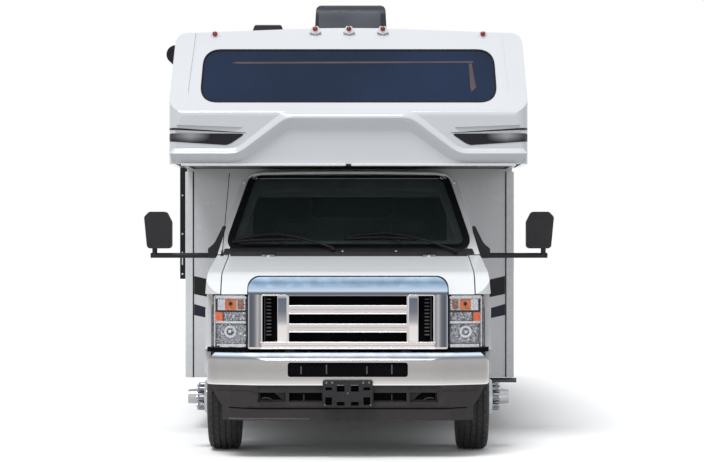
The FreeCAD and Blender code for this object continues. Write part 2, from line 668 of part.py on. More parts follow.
def build_steering_wheel(column, dash):
    """A rim, three spokes and a hub, turning about a column that runs down to the dashboard."""
    tube = D.wheel_ring_tube
    chamfer = tube * 0.5
    ring = turned_body("steering_ring", [
        (-tube, D.wheel_ring_radius - chamfer), (-chamfer, D.wheel_ring_radius - tube),
        (chamfer, D.wheel_ring_radius - tube), (tube, D.wheel_ring_radius - chamfer),
        (tube, D.wheel_ring_radius + chamfer), (chamfer, D.wheel_ring_radius + tube),
        (-chamfer, D.wheel_ring_radius + tube), (-tube, D.wheel_ring_radius + chamfer)], "XY_Plane")
    ring.Placement = FreeCAD.Placement(V(), FreeCAD.Rotation(V(0, 1, 0), -90))
    boss = doc.addObject("Part::Cylinder", "steering_boss")
    bind(boss, "Radius", D.wheel_ring_radius * 0.3)
    bind(boss, "Height", D.wheel_ring_tube * 4)
    place(boss, (0, 0, -D.wheel_ring_tube * 3))
    spokes = []
    for angle in (0, 180, 270):
        bar = doc.addObject("Part::Box", f"spoke_{angle}")
        bind(bar, "Length", D.wheel_ring_radius)
        bind(bar, "Width", D.wheel_ring_tube * 2)
        bind(bar, "Height", D.wheel_ring_tube)
        turn = FreeCAD.Rotation(V(0, 0, 1), angle)
        sideways = turn.multVec(V(0, -1, 0))
        bar.Placement = FreeCAD.Placement(V(), turn)
        bind(bar, "Placement.Base.x", D.wheel_ring_tube * sideways.x)
        bind(bar, "Placement.Base.y", D.wheel_ring_tube * sideways.y)
        bind(bar, "Placement.Base.z", -D.wheel_ring_tube * 0.5)
        spokes.append(bar)
    wheel = fuse("steering_wheel_all", ring, boss, *spokes)
    tilt = FreeCAD.Rotation(V(1, 0, 0), -D.steer_tilt.value)
    wheel.Placement = FreeCAD.Placement(V(), tilt)
    place(wheel, (D.steer_x, D.steer_y, D.steer_z))
    node("steering_wheel", wheel)
    column.Placement = FreeCAD.Placement(V(), tilt)
    reach = D.wheel_ring_radius * 1.1
    bind(column, "Radius", D.wheel_ring_tube * 2)
    bind(column, "Height", reach)
    down = (reach + D.wheel_ring_tube * 3 + D.seat_gap)
    axis = tilt.multVec(V(0, 0, 1))
    place(column, (D.steer_x, D.steer_y + down * (-axis.y), D.steer_z + down * (-axis.z)))
    node("dashboard", fuse("dashboard_all", dash, column))


def cap_form(name, inset):
    """The front cap's outer form, drawn in by an inset: side profile, front outline and plan together."""
    nose = D.cap_nose_y + inset
    side = D.cap_x - inset
    edge = D.roof_edge_z - inset
    top = D.roof_edge_z + D.roof_crown - inset
    profile = prism(f"{name}_profile", "side", [
        (D.cap_nose_y + D.cap_foot_back + inset, D.cap_base_z, D.cap_base_round),
        (nose, D.cap_crease_z, D.cap_crease_round),
        (D.cap_top_y + inset, top, D.cap_brow_round),
        (D.side_front_y, top), (D.side_front_y, D.cap_base_z),
    ], -D.cap_x, D.cap_x)
    outline = prism(f"{name}_front", "front", [
        (-side, D.cap_base_z), (side, D.cap_base_z), (side, edge, D.cap_top_corner),
        (0, top, D.crown_round), (-side, edge, D.cap_top_corner),
    ], nose, D.side_front_y)
    plan = prism(f"{name}_plan", "top", [
        (-side, D.side_front_y), (-side, nose, D.cap_corner), (side, nose, D.cap_corner),
        (side, D.side_front_y),
    ], D.cap_base_z, top)
    return common(name, profile, outline, plan)


def cap_window_outline(grow):
    """The front window's outline, with its long-radius corners."""
    half = D.cap_window_half + grow
    return [(x, z, D.cap_window_round) for x, z in (
        (-half, D.cap_window_low - grow), (half, D.cap_window_low - grow),
        (half, D.cap_window_high + grow), (-half, D.cap_window_high + grow))]


def face_band(name, shallow, deep):
    """A layer of the cap's front between two depths, measured straight back from its face."""
    foot = D.cap_nose_y + D.cap_foot_back
    top = D.roof_edge_z + D.roof_crown
    return prism(name, "side", [
        (foot + shallow, D.cap_base_z), (D.cap_nose_y + shallow, D.cap_crease_z),
        (D.cap_top_y + shallow, top), (D.cap_top_y + deep, top),
        (D.cap_nose_y + deep, D.cap_crease_z), (foot + deep, D.cap_base_z),
    ], -D.cap_x - D.cut_over, D.cap_x + D.cut_over)


def build_cap():
    """The moulded front cap with its stepped face, its recesses and its wide window."""
    shell = cut("cap_hollow", cap_form("cap_outer", 0), cap_form("cap_inner", D.cap_thick))
    over = D.cut_over
    ahead = D.cap_nose_y - over
    behind = D.side_front_y + over
    far = D.cap_x + over
    low = D.cap_base_z - over
    apron = prism("cap_apron", "front", [
        (-far, low), (far, low), (far, D.panel_low_z), (D.panel_half_low, D.panel_low_z, D.panel_round),
        (D.panel_half_top, D.panel_high_z, D.panel_round),
        (-D.panel_half_top, D.panel_high_z, D.panel_round),
        (-D.panel_half_low, D.panel_low_z, D.panel_round), (-far, D.panel_low_z),
    ], ahead, behind)
    apron_cut = common("cap_apron_cut", apron, face_band("apron_band", -over, D.panel_deep))
    recess = prism("cap_recess", "front", [
        (-D.groove_half_low, D.groove_low_z, D.groove_round),
        (D.groove_half_low, D.groove_low_z, D.groove_round),
        (D.groove_half_top, D.roof_edge_z + D.roof_crown + over),
        (-D.groove_half_top, D.roof_edge_z + D.roof_crown + over),
    ], ahead, D.cap_top_y)
    recess_cut = common("cap_recess_cut", recess, face_band("recess_band", -over, D.groove_deep))
    hole = prism("cap_window_hole", "front", cap_window_outline(0), ahead, D.cap_top_y)
    vent = prism("cap_vent", "front", [
        (D.vent_in_x, D.vent_high_z), (D.cap_x + over, D.vent_high_z + D.vent_deep * 2),
        (D.cap_x + over, D.vent_low_z + D.vent_deep * 2),
        (D.vent_in_x + D.cap_corner, D.vent_low_z, D.cap_base_round),
    ], ahead, behind)
    vent_cut = common("cap_vent_cut", vent, face_band("vent_band", -over, D.vent_deep))
    cap = cut("cap_cut", shell, apron_cut, recess_cut, hole, vent_cut,
              mirrored("cap_vent_right", vent_cut))
    node("front_cap", cap)
    pane = common("cap_pane", prism("cap_pane_outline", "front", cap_window_outline(0), ahead, D.cap_top_y),
                  face_band("pane_band", D.groove_deep + D.vent_deep * 0.5,
                            D.groove_deep + D.vent_deep * 0.5 + D.cap_window_thick * 1.4))
    node("front_window", pane)


def window_corners(front, rear, low, high):
    """A round-cornered window in a side wall."""
    return [(front, low, D.glass_round), (rear, low, D.glass_round),
            (rear, high, D.glass_round), (front, high, D.glass_round)]


LEFT_WINDOWS = ("left_fore", "left_mid", "left_aft")
RIGHT_WINDOWS = ("right_fore", "right_mid", "right_aft")
SIDE_WINDOWS = {
    "left_fore_front": -2060, "left_fore_rear": -1400, "left_fore_low": 2380, "left_fore_high": 2700,
    "left_mid_front": -960, "left_mid_rear": 60, "left_mid_low": 1620, "left_mid_high": 2330,
    "left_aft_front": 2130, "left_aft_rear": 2990, "left_aft_low": 1720, "left_aft_high": 2330,
    "right_fore_front": -2060, "right_fore_rear": -1400, "right_fore_low": 2380,
    "right_fore_high": 2700, "right_mid_front": -1360, "right_mid_rear": -700, "right_mid_low": 1620,
    "right_mid_high": 2330, "right_aft_front": 1700, "right_aft_rear": 2620, "right_aft_low": 1720,
    "right_aft_high": 2330,
}
cells("Side windows", SIDE_WINDOWS)


def window_sizes(name):
    """Front, rear, low and high of one named side window."""
    return [getattr(D, f"{name}_{edge}") for edge in ("front", "rear", "low", "high")]


def build_walls():
    """Laminated side, rear and front walls, floor and roof of the living space."""
    over = D.cut_over
    out = D.wall_x
    inner = D.wall_x - D.wall_thick
    top = D.roof_edge_z - D.roof_thick
    rear = D.house_rear_y
    rear_axle_y = D.front_axle_y + D.wheelbase
    shape = [
        (D.side_front_y, D.bunk_z), (D.house_front_y, D.bunk_z), (D.house_front_y, D.skirt_z),
        (rear, D.skirt_z), (rear, top), (D.side_front_y, top),
    ]
    raw = prism("wall_left_raw", "side", shape, inner, out)
    arch = rod("rear_arch", "X", (rear_axle_y, D.wheel_centre_z), D.wheel_box_radius,
               inner - over, out + over)
    locker = prism("locker_opening", "side", locker_outline(D.seam_gap), inner - over, out + over)
    left_holes = [prism(f"{name}_hole", "side", window_corners(*window_sizes(name)), inner - over,
                        out + over) for name in LEFT_WINDOWS]
    lid_line = (out + D.lid_proud, D.locker_high_z)
    lid_starts = (D.locker_front_y + D.locker_hinge_in,
                  D.locker_rear_y - D.locker_hinge_in - D.hinge_long)
    lid_fixed, lid_moving, lid_fixed_room, lid_room = hinges(
        "lid_hinge", "Y", lid_line, lid_starts, (0, -1), (1, -1))
    node("left_wall", with_hinges("wall_left", cut("wall_left_cut", raw, arch, locker, *left_holes),
                                  lid_fixed, lid_room))
    entry = prism("entry_opening", "side", entry_outline(D.seam_gap), -out - over, -inner + over)
    right_holes = [prism(f"{name}_hole", "side", window_corners(*window_sizes(name)), -out - over,
                         -inner + over) for name in RIGHT_WINDOWS]
    right_raw = prism("wall_right_raw", "side", shape, -out, -inner)
    entry_fixed, entry_moving, entry_fixed_room, entry_room = hinges(
        "entry_hinge", "Z", (-out - D.hinge_out, D.entry_front_y),
        (D.entry_hinge_low_z, D.entry_hinge_mid_z, D.entry_hinge_high_z), (0, 1), (1, 1))
    right_cut = cut("wall_right_cut", right_raw, mirrored("rear_arch_right", arch),
                    mirrored("locker_opening_right", locker), entry, *right_holes)
    node("right_wall", with_hinges(
        "wall_right", right_cut, [*entry_fixed, *mirrored_all("lid_fixed_right", lid_fixed)],
        [*entry_room, *mirrored_all("lid_room_right", lid_room)]))
    set_back = (D.wall_thick - D.window_thick) * 0.2
    panes = []
    for name in LEFT_WINDOWS:
        panes.append(prism(f"{name}_pane", "side", window_corners(*window_sizes(name)),
                           out - set_back - D.window_thick, out - set_back))
    for name in RIGHT_WINDOWS:
        panes.append(prism(f"{name}_pane", "side", window_corners(*window_sizes(name)),
                           -out + set_back, -out + set_back + D.window_thick))
    rear_glass = [(x, z, D.glass_round) for x, z in (
        (-D.rear_glass_half, D.rear_glass_low), (D.rear_glass_half, D.rear_glass_low),
        (D.rear_glass_half, D.rear_glass_high), (-D.rear_glass_half, D.rear_glass_high))]
    panes.append(prism("rear_pane", "front", rear_glass, rear - set_back - D.window_thick,
                       rear - set_back))
    node("side_windows", group("window_panes", *panes))

    back = prism("wall_rear_raw", "front", [
        (-inner, D.skirt_z), (inner, D.skirt_z), (inner, top), (-inner, top)],
        rear - D.wall_thick, rear)
    back_hole = prism("rear_glass_hole", "front", rear_glass, rear - D.wall_thick - over, rear + over)
    notch = box("rear_frame_notch", (-D.rail_x - D.rail_wide, D.rail_x + D.rail_wide),
                (rear - D.wall_thick - over, rear + over), (D.skirt_z - over, D.rail_z + D.trim_drop))
    node("rear_wall", cut("wall_rear", back, back_hole, notch))

    front = prism("wall_front_raw", "front", [
        (-inner, D.skirt_z), (inner, D.skirt_z), (inner, D.bunk_z), (-inner, D.bunk_z)],
        D.house_front_y, D.house_front_y + D.wall_thick)
    half = D.cab_eave_x - D.cab_thick - D.seam_gap
    gate = prism("cab_gateway", "front", [
        (-half, D.floor_z + D.floor_thick), (half, D.floor_z + D.floor_thick),
        (half, D.cab_eave_z - D.cab_corner, D.mirror_round),
        (-half, D.cab_eave_z - D.cab_corner, D.mirror_round),
    ], D.house_front_y - over, D.house_front_y + D.wall_thick + over)
    under = box("front_wall_under", (-D.cab_x + D.cab_thick, D.cab_x - D.cab_thick),
                (D.house_front_y - over, D.house_front_y + D.wall_thick + over),
                (D.skirt_z - over, D.floor_z))
    node("front_wall", cut("wall_front", front, gate, under))

    floor = box("floor_slab", (-inner, inner),
                (D.house_front_y + D.wall_thick, rear - D.wall_thick),
                (D.floor_z, D.floor_z + D.floor_thick))
    well = box("step_well", (-inner - over, -inner + D.step_deep * 1.5),
               (D.entry_front_y, D.entry_rear_y), (D.floor_z - over, D.floor_z + D.floor_thick + over))
    bunk = box("bunk_slab", (-D.cap_x + D.cap_thick + D.wall_thick, D.cap_x - D.cap_thick - D.wall_thick),
               (D.cap_nose_y + D.cap_foot_back + D.cap_thick + D.panel_deep, D.house_front_y + D.wall_thick),
               (D.bunk_z, D.bunk_z + D.bunk_thick))
    node("floors", group("floors_all", cut("floor_cut", floor, well), bunk))
    crown = D.roof_edge_z + D.roof_crown
    roof = prism("roof_raw", "front", [
        (-out, top), (out, top), (out, D.roof_edge_z, D.roof_corner), (0, crown, D.crown_round),
        (-out, D.roof_edge_z, D.roof_corner)], D.side_front_y, rear)
    node("house_roof", roof)
    return entry_moving, entry_fixed_room, lid_moving, lid_fixed_room


def entry_outline(grow):
    """The entry door's outline, grown for its opening."""
    return [
        (D.entry_front_y - grow, D.entry_base_z - grow, D.entry_round),
        (D.entry_rear_y + grow, D.entry_base_z - grow, D.entry_round),
        (D.entry_rear_y + grow, D.entry_top_z + grow, D.entry_round),
        (D.entry_front_y - grow, D.entry_top_z + grow, D.entry_round),
    ]


def locker_outline(grow):
    """The outline of the rear storage locker's lid, grown for its opening."""
    return [
        (D.locker_front_y - grow, D.locker_low_z - grow, D.locker_round),
        (D.locker_rear_y + grow, D.locker_low_z - grow, D.locker_round),
        (D.locker_rear_y + grow, D.locker_high_z + grow, D.locker_round),
        (D.locker_front_y - grow, D.locker_high_z + grow, D.locker_round),
    ]


def build_house_doors(entry_moving, entry_fixed_room, lid_moving, lid_fixed_room):
    """Entry door with its window, the two locker lids with the trays behind them, and the step."""
    out = D.wall_x
    inner = D.wall_x - D.wall_thick
    over = D.cut_over
    door = with_hinges("entry_hinged", prism("entry_raw", "side", entry_outline(0), -out, -inner),
                       entry_moving, entry_fixed_room)
    pane_shape = window_corners(D.entry_front_y + D.entry_glass_in, D.entry_rear_y - D.entry_glass_in,
                                D.entry_glass_low, D.entry_glass_high)
    hole = prism("entry_glass_hole", "side", pane_shape, -out - over, -inner + over)
    node("entry_door", cut("entry_cut", door, hole))
    node("entry_glass", prism("entry_pane", "side", pane_shape, -out + D.glass_inset,
                              -out + D.glass_inset + D.window_thick))
    lid = with_hinges("locker_lid_left", prism("locker_lid_raw", "side", locker_outline(0),
                      out - D.locker_thick, out), lid_moving, lid_fixed_room)
    node("left_locker_lid", lid)
    node("right_locker_lid", mirrored("locker_lid_right", lid))
    tray_out = box("locker_tray_out", (D.rear_track_half, inner - D.seat_gap),
                   (D.locker_front_y - D.locker_thick, D.locker_rear_y + D.locker_thick),
                   (D.locker_low_z - D.locker_thick, D.floor_z - D.seat_gap))
    tray_in = box("locker_tray_in", (D.rear_track_half + D.locker_thick, inner + over),
                  (D.locker_front_y, D.locker_rear_y), (D.locker_low_z, D.locker_high_z))
    tray = cut("locker_tray", tray_out, tray_in)
    node("locker_trays", group("trays", tray, mirrored("locker_tray_right", tray)))
    tread = box("step_tread", (-out + D.wall_thick, -out + D.wall_thick + D.step_deep),
                (D.entry_front_y + D.step_thick, D.entry_rear_y - D.step_thick),
                (D.step_low_z + D.step_thick * 2, D.step_low_z + D.step_thick * 3))
    legs = [box(f"step_leg_{i}", (-out + D.wall_thick + D.step_thick, -out + D.wall_thick + D.step_deep),
                (y, y + D.step_thick), (D.step_low_z + D.step_thick * 3, D.floor_z))
            for i, y in enumerate((D.entry_front_y + D.step_thick,
                                   D.entry_rear_y - D.step_thick * 2))]
    node("entry_step", fuse("step_all", tread, *legs))


def wheel_section():
    """Half section of a deep-dished wheel with its hub: along the axle, then out from it."""
    flange = D.rim_half
    well = D.rim_half * 0.68
    lip = D.rim_flange - D.rim_wall
    inner_well = D.rim_drop - D.rim_wall
    face = D.disc_offset + D.disc_thick
    tip = face + D.hub_reach
    bore_start = D.disc_offset - D.rim_wall * 2
    return [
        (-flange, D.rim_flange), (-well, D.rim_drop), (well, D.rim_drop), (flange, D.rim_flange),
        (flange, lip), (well, inner_well), (face * 0.9, D.hand_hole_circle * 0.86),
        (face, D.hand_hole_circle * 0.78), (face, D.hub_radius), (tip, D.hub_radius * 0.86), (tip, 0),
        (tip - D.rim_wall * 2, 0), (tip - D.rim_wall * 2, D.bore_radius), (bore_start, D.bore_radius),
        (bore_start, D.hub_radius), (D.disc_offset, D.hub_radius),
        (D.disc_offset, D.hand_hole_circle * 0.74), (flange * 0.55, inner_well - D.rim_wall),
        (-well, inner_well), (-flange, lip),
    ]


def tyre_section():
    """Half section of a road tyre: a flat tread and square shoulders over walls that bulge."""
    half = D.tyre_width * 0.5
    seat = D.rim_flange + D.seat_gap
    tread = half - D.tyre_shoulder * 0.8
    middle = (D.tyre_radius + seat) * 0.5
    shoulder = D.tyre_radius - D.tyre_shoulder
    edge = half * 0.97
    return [(-D.rim_half, seat), (D.rim_half, seat), (half, middle), (edge, shoulder),
            (tread, D.tyre_radius), (-tread, D.tyre_radius), (-edge, shoulder), (-half, middle)]


def wheel_piece(name, at, inward=False):
    """One wheel set on the axle line. Its dish points away from the vehicle unless it faces inward."""
    dish = turned_body(f"{name}_dish", wheel_section(), "XY_Plane")
    face = D.disc_offset + D.disc_thick
    extras = []
    holes = []
    for i in range(8):
        turn = math.radians(360 / 8 * i)
        spread = math.radians(360 / 8 * (i + 0.5))
        extras.append(rod(f"{name}_stud_{i}", "X", (D.lug_circle * math.sin(turn),
                      D.lug_circle * math.cos(turn)), D.lug_radius, D.disc_offset, face + D.lug_reach))
        holes.append(rod(f"{name}_hand_{i}", "X", (D.hand_hole_circle * math.sin(spread),
                     D.hand_hole_circle * math.cos(spread)), D.hand_hole, D.rim_half * 0.5,
                     face + D.cut_over))
    whole = cut(f"{name}_drilled", fuse(f"{name}_studded", dish, *extras), *holes)
    if inward:
        flip = doc.addObject("Part::Mirroring", f"{name}_flipped")
        flip.Source = whole
        flip.Base = V(0, 0, 0)
        flip.Normal = V(1, 0, 0)
        whole = flip
    return moved(f"{name}_set", whole, at)


def build_wheels():
    """Two steered wheels and two pairs of twin wheels, each with its tyre or tyres."""
    front = D.front_axle_y
    rear = D.front_axle_y + D.wheelbase
    height = D.wheel_centre_z
    half_gap = D.dual_spacing * 0.5
    for side, sign in (("left", 1), ("right", -1)):
        face_in = sign < 0
        rim = wheel_piece(f"front_{side}", (D.front_track_half * sign, front, height), face_in)
        node(f"front_{side}_wheel", rim)
        tyre = turned_body(f"front_{side}_tyre_body", tyre_section(), "XY_Plane")
        node(f"front_{side}_tyre", moved(f"front_{side}_tyre_set", tyre,
                                         (D.front_track_half * sign, front, height)))
        tyres = []
        for place_name, shift in (("outer", half_gap), ("inner", -half_gap)):
            body = turned_body(f"rear_{side}_{place_name}_tyre", tyre_section(), "XY_Plane")
            tyres.append(moved(f"rear_{side}_{place_name}_set", body,
                               ((D.rear_track_half + shift) * sign, rear, height)))
        node(f"rear_{side}_tyres", group(f"rear_{side}_pair", *tyres))
        node(f"rear_{side}_wheels", rear_wheels(side, sign, rear, height))


def rear_wheel_section():
    """Half section of a twin wheel pair with its disc between the rims and its hub reaching out."""
    shift = D.dual_spacing * 0.5
    well = D.rim_half * 0.68
    inner_well = D.rim_drop - D.rim_wall
    lip = D.rim_flange - D.rim_wall
    web = D.disc_thick
    hub = shift * 0.6
    tip = shift + D.rim_half * 0.6

    def barrel(centre):
        return [(centre - D.rim_half, D.rim_flange), (centre - well, D.rim_drop),
                (centre + well, D.rim_drop), (centre + D.rim_half, D.rim_flange)]

    return [
        *barrel(-shift), (-shift + D.rim_half, lip), (-web, D.hand_hole_circle * 0.9),
        (web, D.hand_hole_circle * 0.9), (shift - D.rim_half, lip), *barrel(shift),
        (shift + D.rim_half, lip), (shift + well, inner_well), (shift - well, inner_well),
        (web, D.hand_hole_circle * 0.8), (web, D.hub_radius * 1.2), (tip, D.hub_radius), (tip, 0),
        (tip - D.rim_wall * 2, 0), (tip - D.rim_wall * 2, D.bore_radius), (-hub, D.bore_radius),
        (-hub, D.hub_radius), (-web, D.hub_radius), (-web, D.hand_hole_circle * 0.7),
        (-shift + well, inner_well), (-shift - well, inner_well), (-shift - D.rim_half, lip),
    ]


def rear_wheels(side, sign, axle_y, height):
    """One side's twin wheels on one hub, with studs round the hub."""
    dish = turned_body(f"rear_{side}_dish", rear_wheel_section(), "XY_Plane")
    studs = []
    for i in range(8):
        turn = math.radians(360 / 8 * i)
        studs.append(rod(f"rear_{side}_stud_{i}", "X", (D.lug_circle * 1.1 * math.sin(turn),
                     D.lug_circle * 1.1 * math.cos(turn)), D.lug_radius, 0, D.disc_thick + D.lug_reach))
    whole = fuse(f"rear_{side}_studded", dish, *studs)
    if sign < 0:
        whole = mirrored(f"rear_{side}_flipped", whole)
    return moved(f"rear_{side}_wheels_set", whole, (D.rear_track_half * sign, axle_y, height))


def build_chassis():
    """Ladder frame with its axles, springs and the plain blocks of the driveline below the floor."""
    half_wide = D.rail_wide * 0.5
    rail = box("rail_left", (D.rail_x - half_wide, D.rail_x + half_wide),
               (D.rail_front_y, D.rail_rear_y), (D.rail_z, D.rail_z + D.rail_high))
    cross = []
    joists = (D.gearbox_rear_y, D.front_axle_y + D.wheelbase * 0.6, D.tank_front_y - D.member_wide * 2,
              D.tank_rear_y + D.member_wide, D.rail_rear_y - D.member_wide)
    top = D.rail_z + D.rail_high
    mounts = [(y, D.floor_z) for y in joists]
    mounts += [(D.dash_y + D.member_wide, D.cab_floor_z), (D.seat_rear_y, D.cab_floor_z)]
    for i, (y, under) in enumerate(mounts):
        mount = box(f"body_mount_{i}", (D.rail_x - half_wide, D.rail_x + half_wide), (y, y + D.member_wide),
                    (top, under - D.seat_gap))
        cross += [mount, mirrored(f"body_mount_right_{i}", mount)]
    for i, y in enumerate((D.rail_front_y, *joists)):
        cross.append(box(f"cross_member_{i}", (-D.rail_x, D.rail_x), (y, y + D.member_wide),
                         (D.rail_z + D.rail_web, D.rail_z + D.rail_high - D.rail_web * 4)))
    saddle = box("coil_saddle", (D.rail_x - D.coil_radius, D.rail_x + D.coil_radius),
                 (D.front_axle_y - D.coil_radius, D.front_axle_y + D.coil_radius),
                 (D.rail_z - D.rail_web * 2, D.rail_z))
    node("ladder_frame", fuse("frame_all", rail, mirrored("rail_right", rail), saddle,
                              mirrored("coil_saddle_right", saddle), *cross))
    axle_z = D.wheel_centre_z
    axle_y = D.front_axle_y
    yoke_in = D.kingpin_x - D.kingpin_half
    post_out = D.kingpin_x - D.kingpin_radius * 2
    beam = box("front_beam", (-post_out, post_out), (axle_y - D.beam_deep * 0.5, axle_y + D.beam_deep * 0.5),
               (D.beam_z - D.beam_high * 0.5, D.beam_z + D.beam_high * 0.5))
    pieces = [beam]
    post = box("yoke_post", (yoke_in, post_out), (axle_y - D.beam_deep * 0.5, axle_y + D.beam_deep * 0.5),
               (axle_z - D.kingpin_half, axle_z + D.kingpin_half))
    pin_rod = rod("kingpin", "Z", (D.kingpin_x, axle_y), D.kingpin_radius,
                  axle_z - D.kingpin_half, axle_z + D.kingpin_half)
    pieces += [post, pin_rod]
    for i, (low, high) in enumerate(((axle_z - D.kingpin_half, axle_z - D.kingpin_half + D.yoke_thick),
                                     (axle_z + D.kingpin_half - D.yoke_thick, axle_z + D.kingpin_half))):
        pieces.append(box(f"yoke_arm_{i}", (yoke_in, D.kingpin_x),
                          (axle_y - D.beam_deep * 0.5, axle_y + D.beam_deep * 0.5), (low, high)))
        pieces.append(rod(f"yoke_eye_{i}", "Z", (D.kingpin_x, axle_y), D.beam_deep * 0.5, low, high))
    coil = rod("coil_spring", "Z", (D.rail_x, axle_y), D.coil_radius, D.beam_z,
               D.rail_z - D.rail_web * 2)
    pieces.append(coil)
    side = fuse("front_axle_side", *pieces)
    node("front_axle", fuse("front_axle_all", side, mirrored("front_axle_other", side)))

    knuckle_pieces = []
    boss = rod("knuckle_boss", "Z", (D.kingpin_x, axle_y), D.boss_radius, axle_z - D.boss_half,
               axle_z + D.boss_half)
    neck = rod("knuckle_neck", "X", (axle_y, axle_z), D.hub_radius, D.kingpin_x + D.brake_in,
               D.front_track_half + D.disc_offset - D.rim_wall * 3)
    stub = rod("knuckle_spindle", "X", (axle_y, axle_z), D.bore_radius - D.run_gap,
               D.kingpin_x + D.kingpin_radius * 1.2,
               D.front_track_half + D.disc_offset + D.hub_reach - D.rim_wall * 2)
    brake = rod("brake_disc", "X", (axle_y, axle_z), D.brake_radius,
                D.kingpin_x + D.brake_in, D.kingpin_x + D.brake_in + D.brake_thick)
    knuckle_pieces += [boss, neck, stub, brake]
    eye = rod("knuckle_eye", "Z", (D.kingpin_x, axle_y), D.kingpin_radius + D.run_gap,
              axle_z - D.kingpin_half, axle_z + D.kingpin_half)
    knuckle = cut("knuckle_left_cut", fuse("knuckle_left_all", *knuckle_pieces), eye)
    node("left_knuckle", knuckle)
    node("right_knuckle", mirrored("knuckle_right_mirror", knuckle))

    rear_y = D.front_axle_y + D.wheelbase
    inboard = D.rear_track_half - D.dual_spacing * 0.3 - D.seam_gap * 2
    housing = rod("axle_housing", "X", (rear_y, axle_z), D.housing_radius, -inboard, inboard)
    spindle = rod("rear_spindles", "X", (rear_y, axle_z), D.bore_radius - D.run_gap,
                  -D.rear_track_half - D.rear_spindle, D.rear_track_half + D.rear_spindle)
    bowl = rod("differential", "Y", (0, axle_z), D.diff_radius * 0.8, rear_y - D.diff_radius,
               rear_y + D.diff_radius * 0.6)
    low = axle_z + D.housing_radius * 0.9
    leaf = prism("leaf_spring", "side", [
        (rear_y - D.spring_half, D.rail_z), (rear_y - D.spring_half, D.rail_z - D.spring_thick),
        (rear_y - D.spring_wide * 2, low), (rear_y + D.spring_wide * 2, low),
        (rear_y + D.spring_half, D.rail_z - D.spring_thick), (rear_y + D.spring_half, D.rail_z),
        (rear_y + D.spring_half - D.spring_wide, D.rail_z),
        (rear_y + D.spring_wide * 2, low + D.spring_thick),
        (rear_y - D.spring_wide * 2, low + D.spring_thick),
        (rear_y - D.spring_half + D.spring_wide, D.rail_z),
    ], D.rail_x - D.spring_wide * 0.5, D.rail_x + D.spring_wide * 0.5)
    node("rear_axle", fuse("rear_axle_all", housing, spindle, bowl, leaf, mirrored("leaf_right", leaf)))

    engine = box("engine_block", (-D.engine_half, D.engine_half), (D.engine_front_y, D.engine_rear_y),
                 (D.engine_low_z, D.engine_high_z))
    node("engine", engine)
    gearbox = box("gearbox_block", (-D.gearbox_half, D.gearbox_half), (D.engine_rear_y, D.gearbox_rear_y),
                  (D.gearbox_low_z, D.gearbox_high_z))
    shaft = rod("drive_shaft", "Y", (0, axle_z + D.shaft_radius * 2), D.shaft_radius,
                D.gearbox_rear_y, rear_y - D.diff_radius)
    node("driveline", fuse("driveline_all", gearbox, shaft))
    tank = box("tank_block", (-D.rail_x + half_wide + D.seat_gap, D.tank_x + D.tank_half * 0.8),
               (D.tank_front_y, D.tank_rear_y),
               (D.tank_low_z, D.tank_high_z))
    node("fuel_tank", tank)
    tail_pipe = rod("tail_pipe", "Y", (D.pipe_x, D.pipe_z), D.pipe_radius,
                    D.gearbox_rear_y + D.member_wide * 2,
                    rear_y - D.diff_radius * 2)
    hanger = rod("pipe_hanger", "Z", (D.pipe_x, D.front_axle_y + D.wheelbase * 0.6 + D.member_wide * 0.5),
                 D.side_pipe_radius, D.pipe_z, D.rail_z + D.rail_web)
    side_pipe = rod("side_pipe", "X", (D.side_pipe_y, D.side_pipe_z), D.side_pipe_radius,
                    D.pipe_x, D.side_pipe_out)
    drop = rod("pipe_drop", "Z", (D.pipe_x, D.side_pipe_y), D.side_pipe_radius, D.side_pipe_z,
               D.rail_z + D.rail_web)
    node("exhaust", group("exhaust_all", fuse("side_pipe_all", side_pipe, drop),
                          fuse("tail_pipe_all", tail_pipe, hanger)))
    core = box("radiator_core", (-D.radiator_half, D.radiator_half),
               (D.radiator_front_y, D.radiator_front_y + D.radiator_thick),
               (D.radiator_low_z, D.radiator_high_z))
    panel = box("radiator_panel", (-D.grille_half, D.grille_half),
                (D.grille_y + D.grille_deep + D.seat_gap, D.radiator_front_y),
                (D.rail_z + D.rail_high, D.grille_high_z - D.bumper_thick * 4))
    rail_out = D.rail_x + half_wide + D.seam_gap
    depth = (D.grille_y + D.grille_deep + D.seat_gap, D.radiator_front_y)
    outer = box("radiator_outer", (rail_out, D.grille_half), depth,
                (D.closing_low_z, D.rail_z + D.rail_high))
    node("radiator", fuse("radiator_all", core, panel, outer, mirrored("radiator_outer_right", outer)))


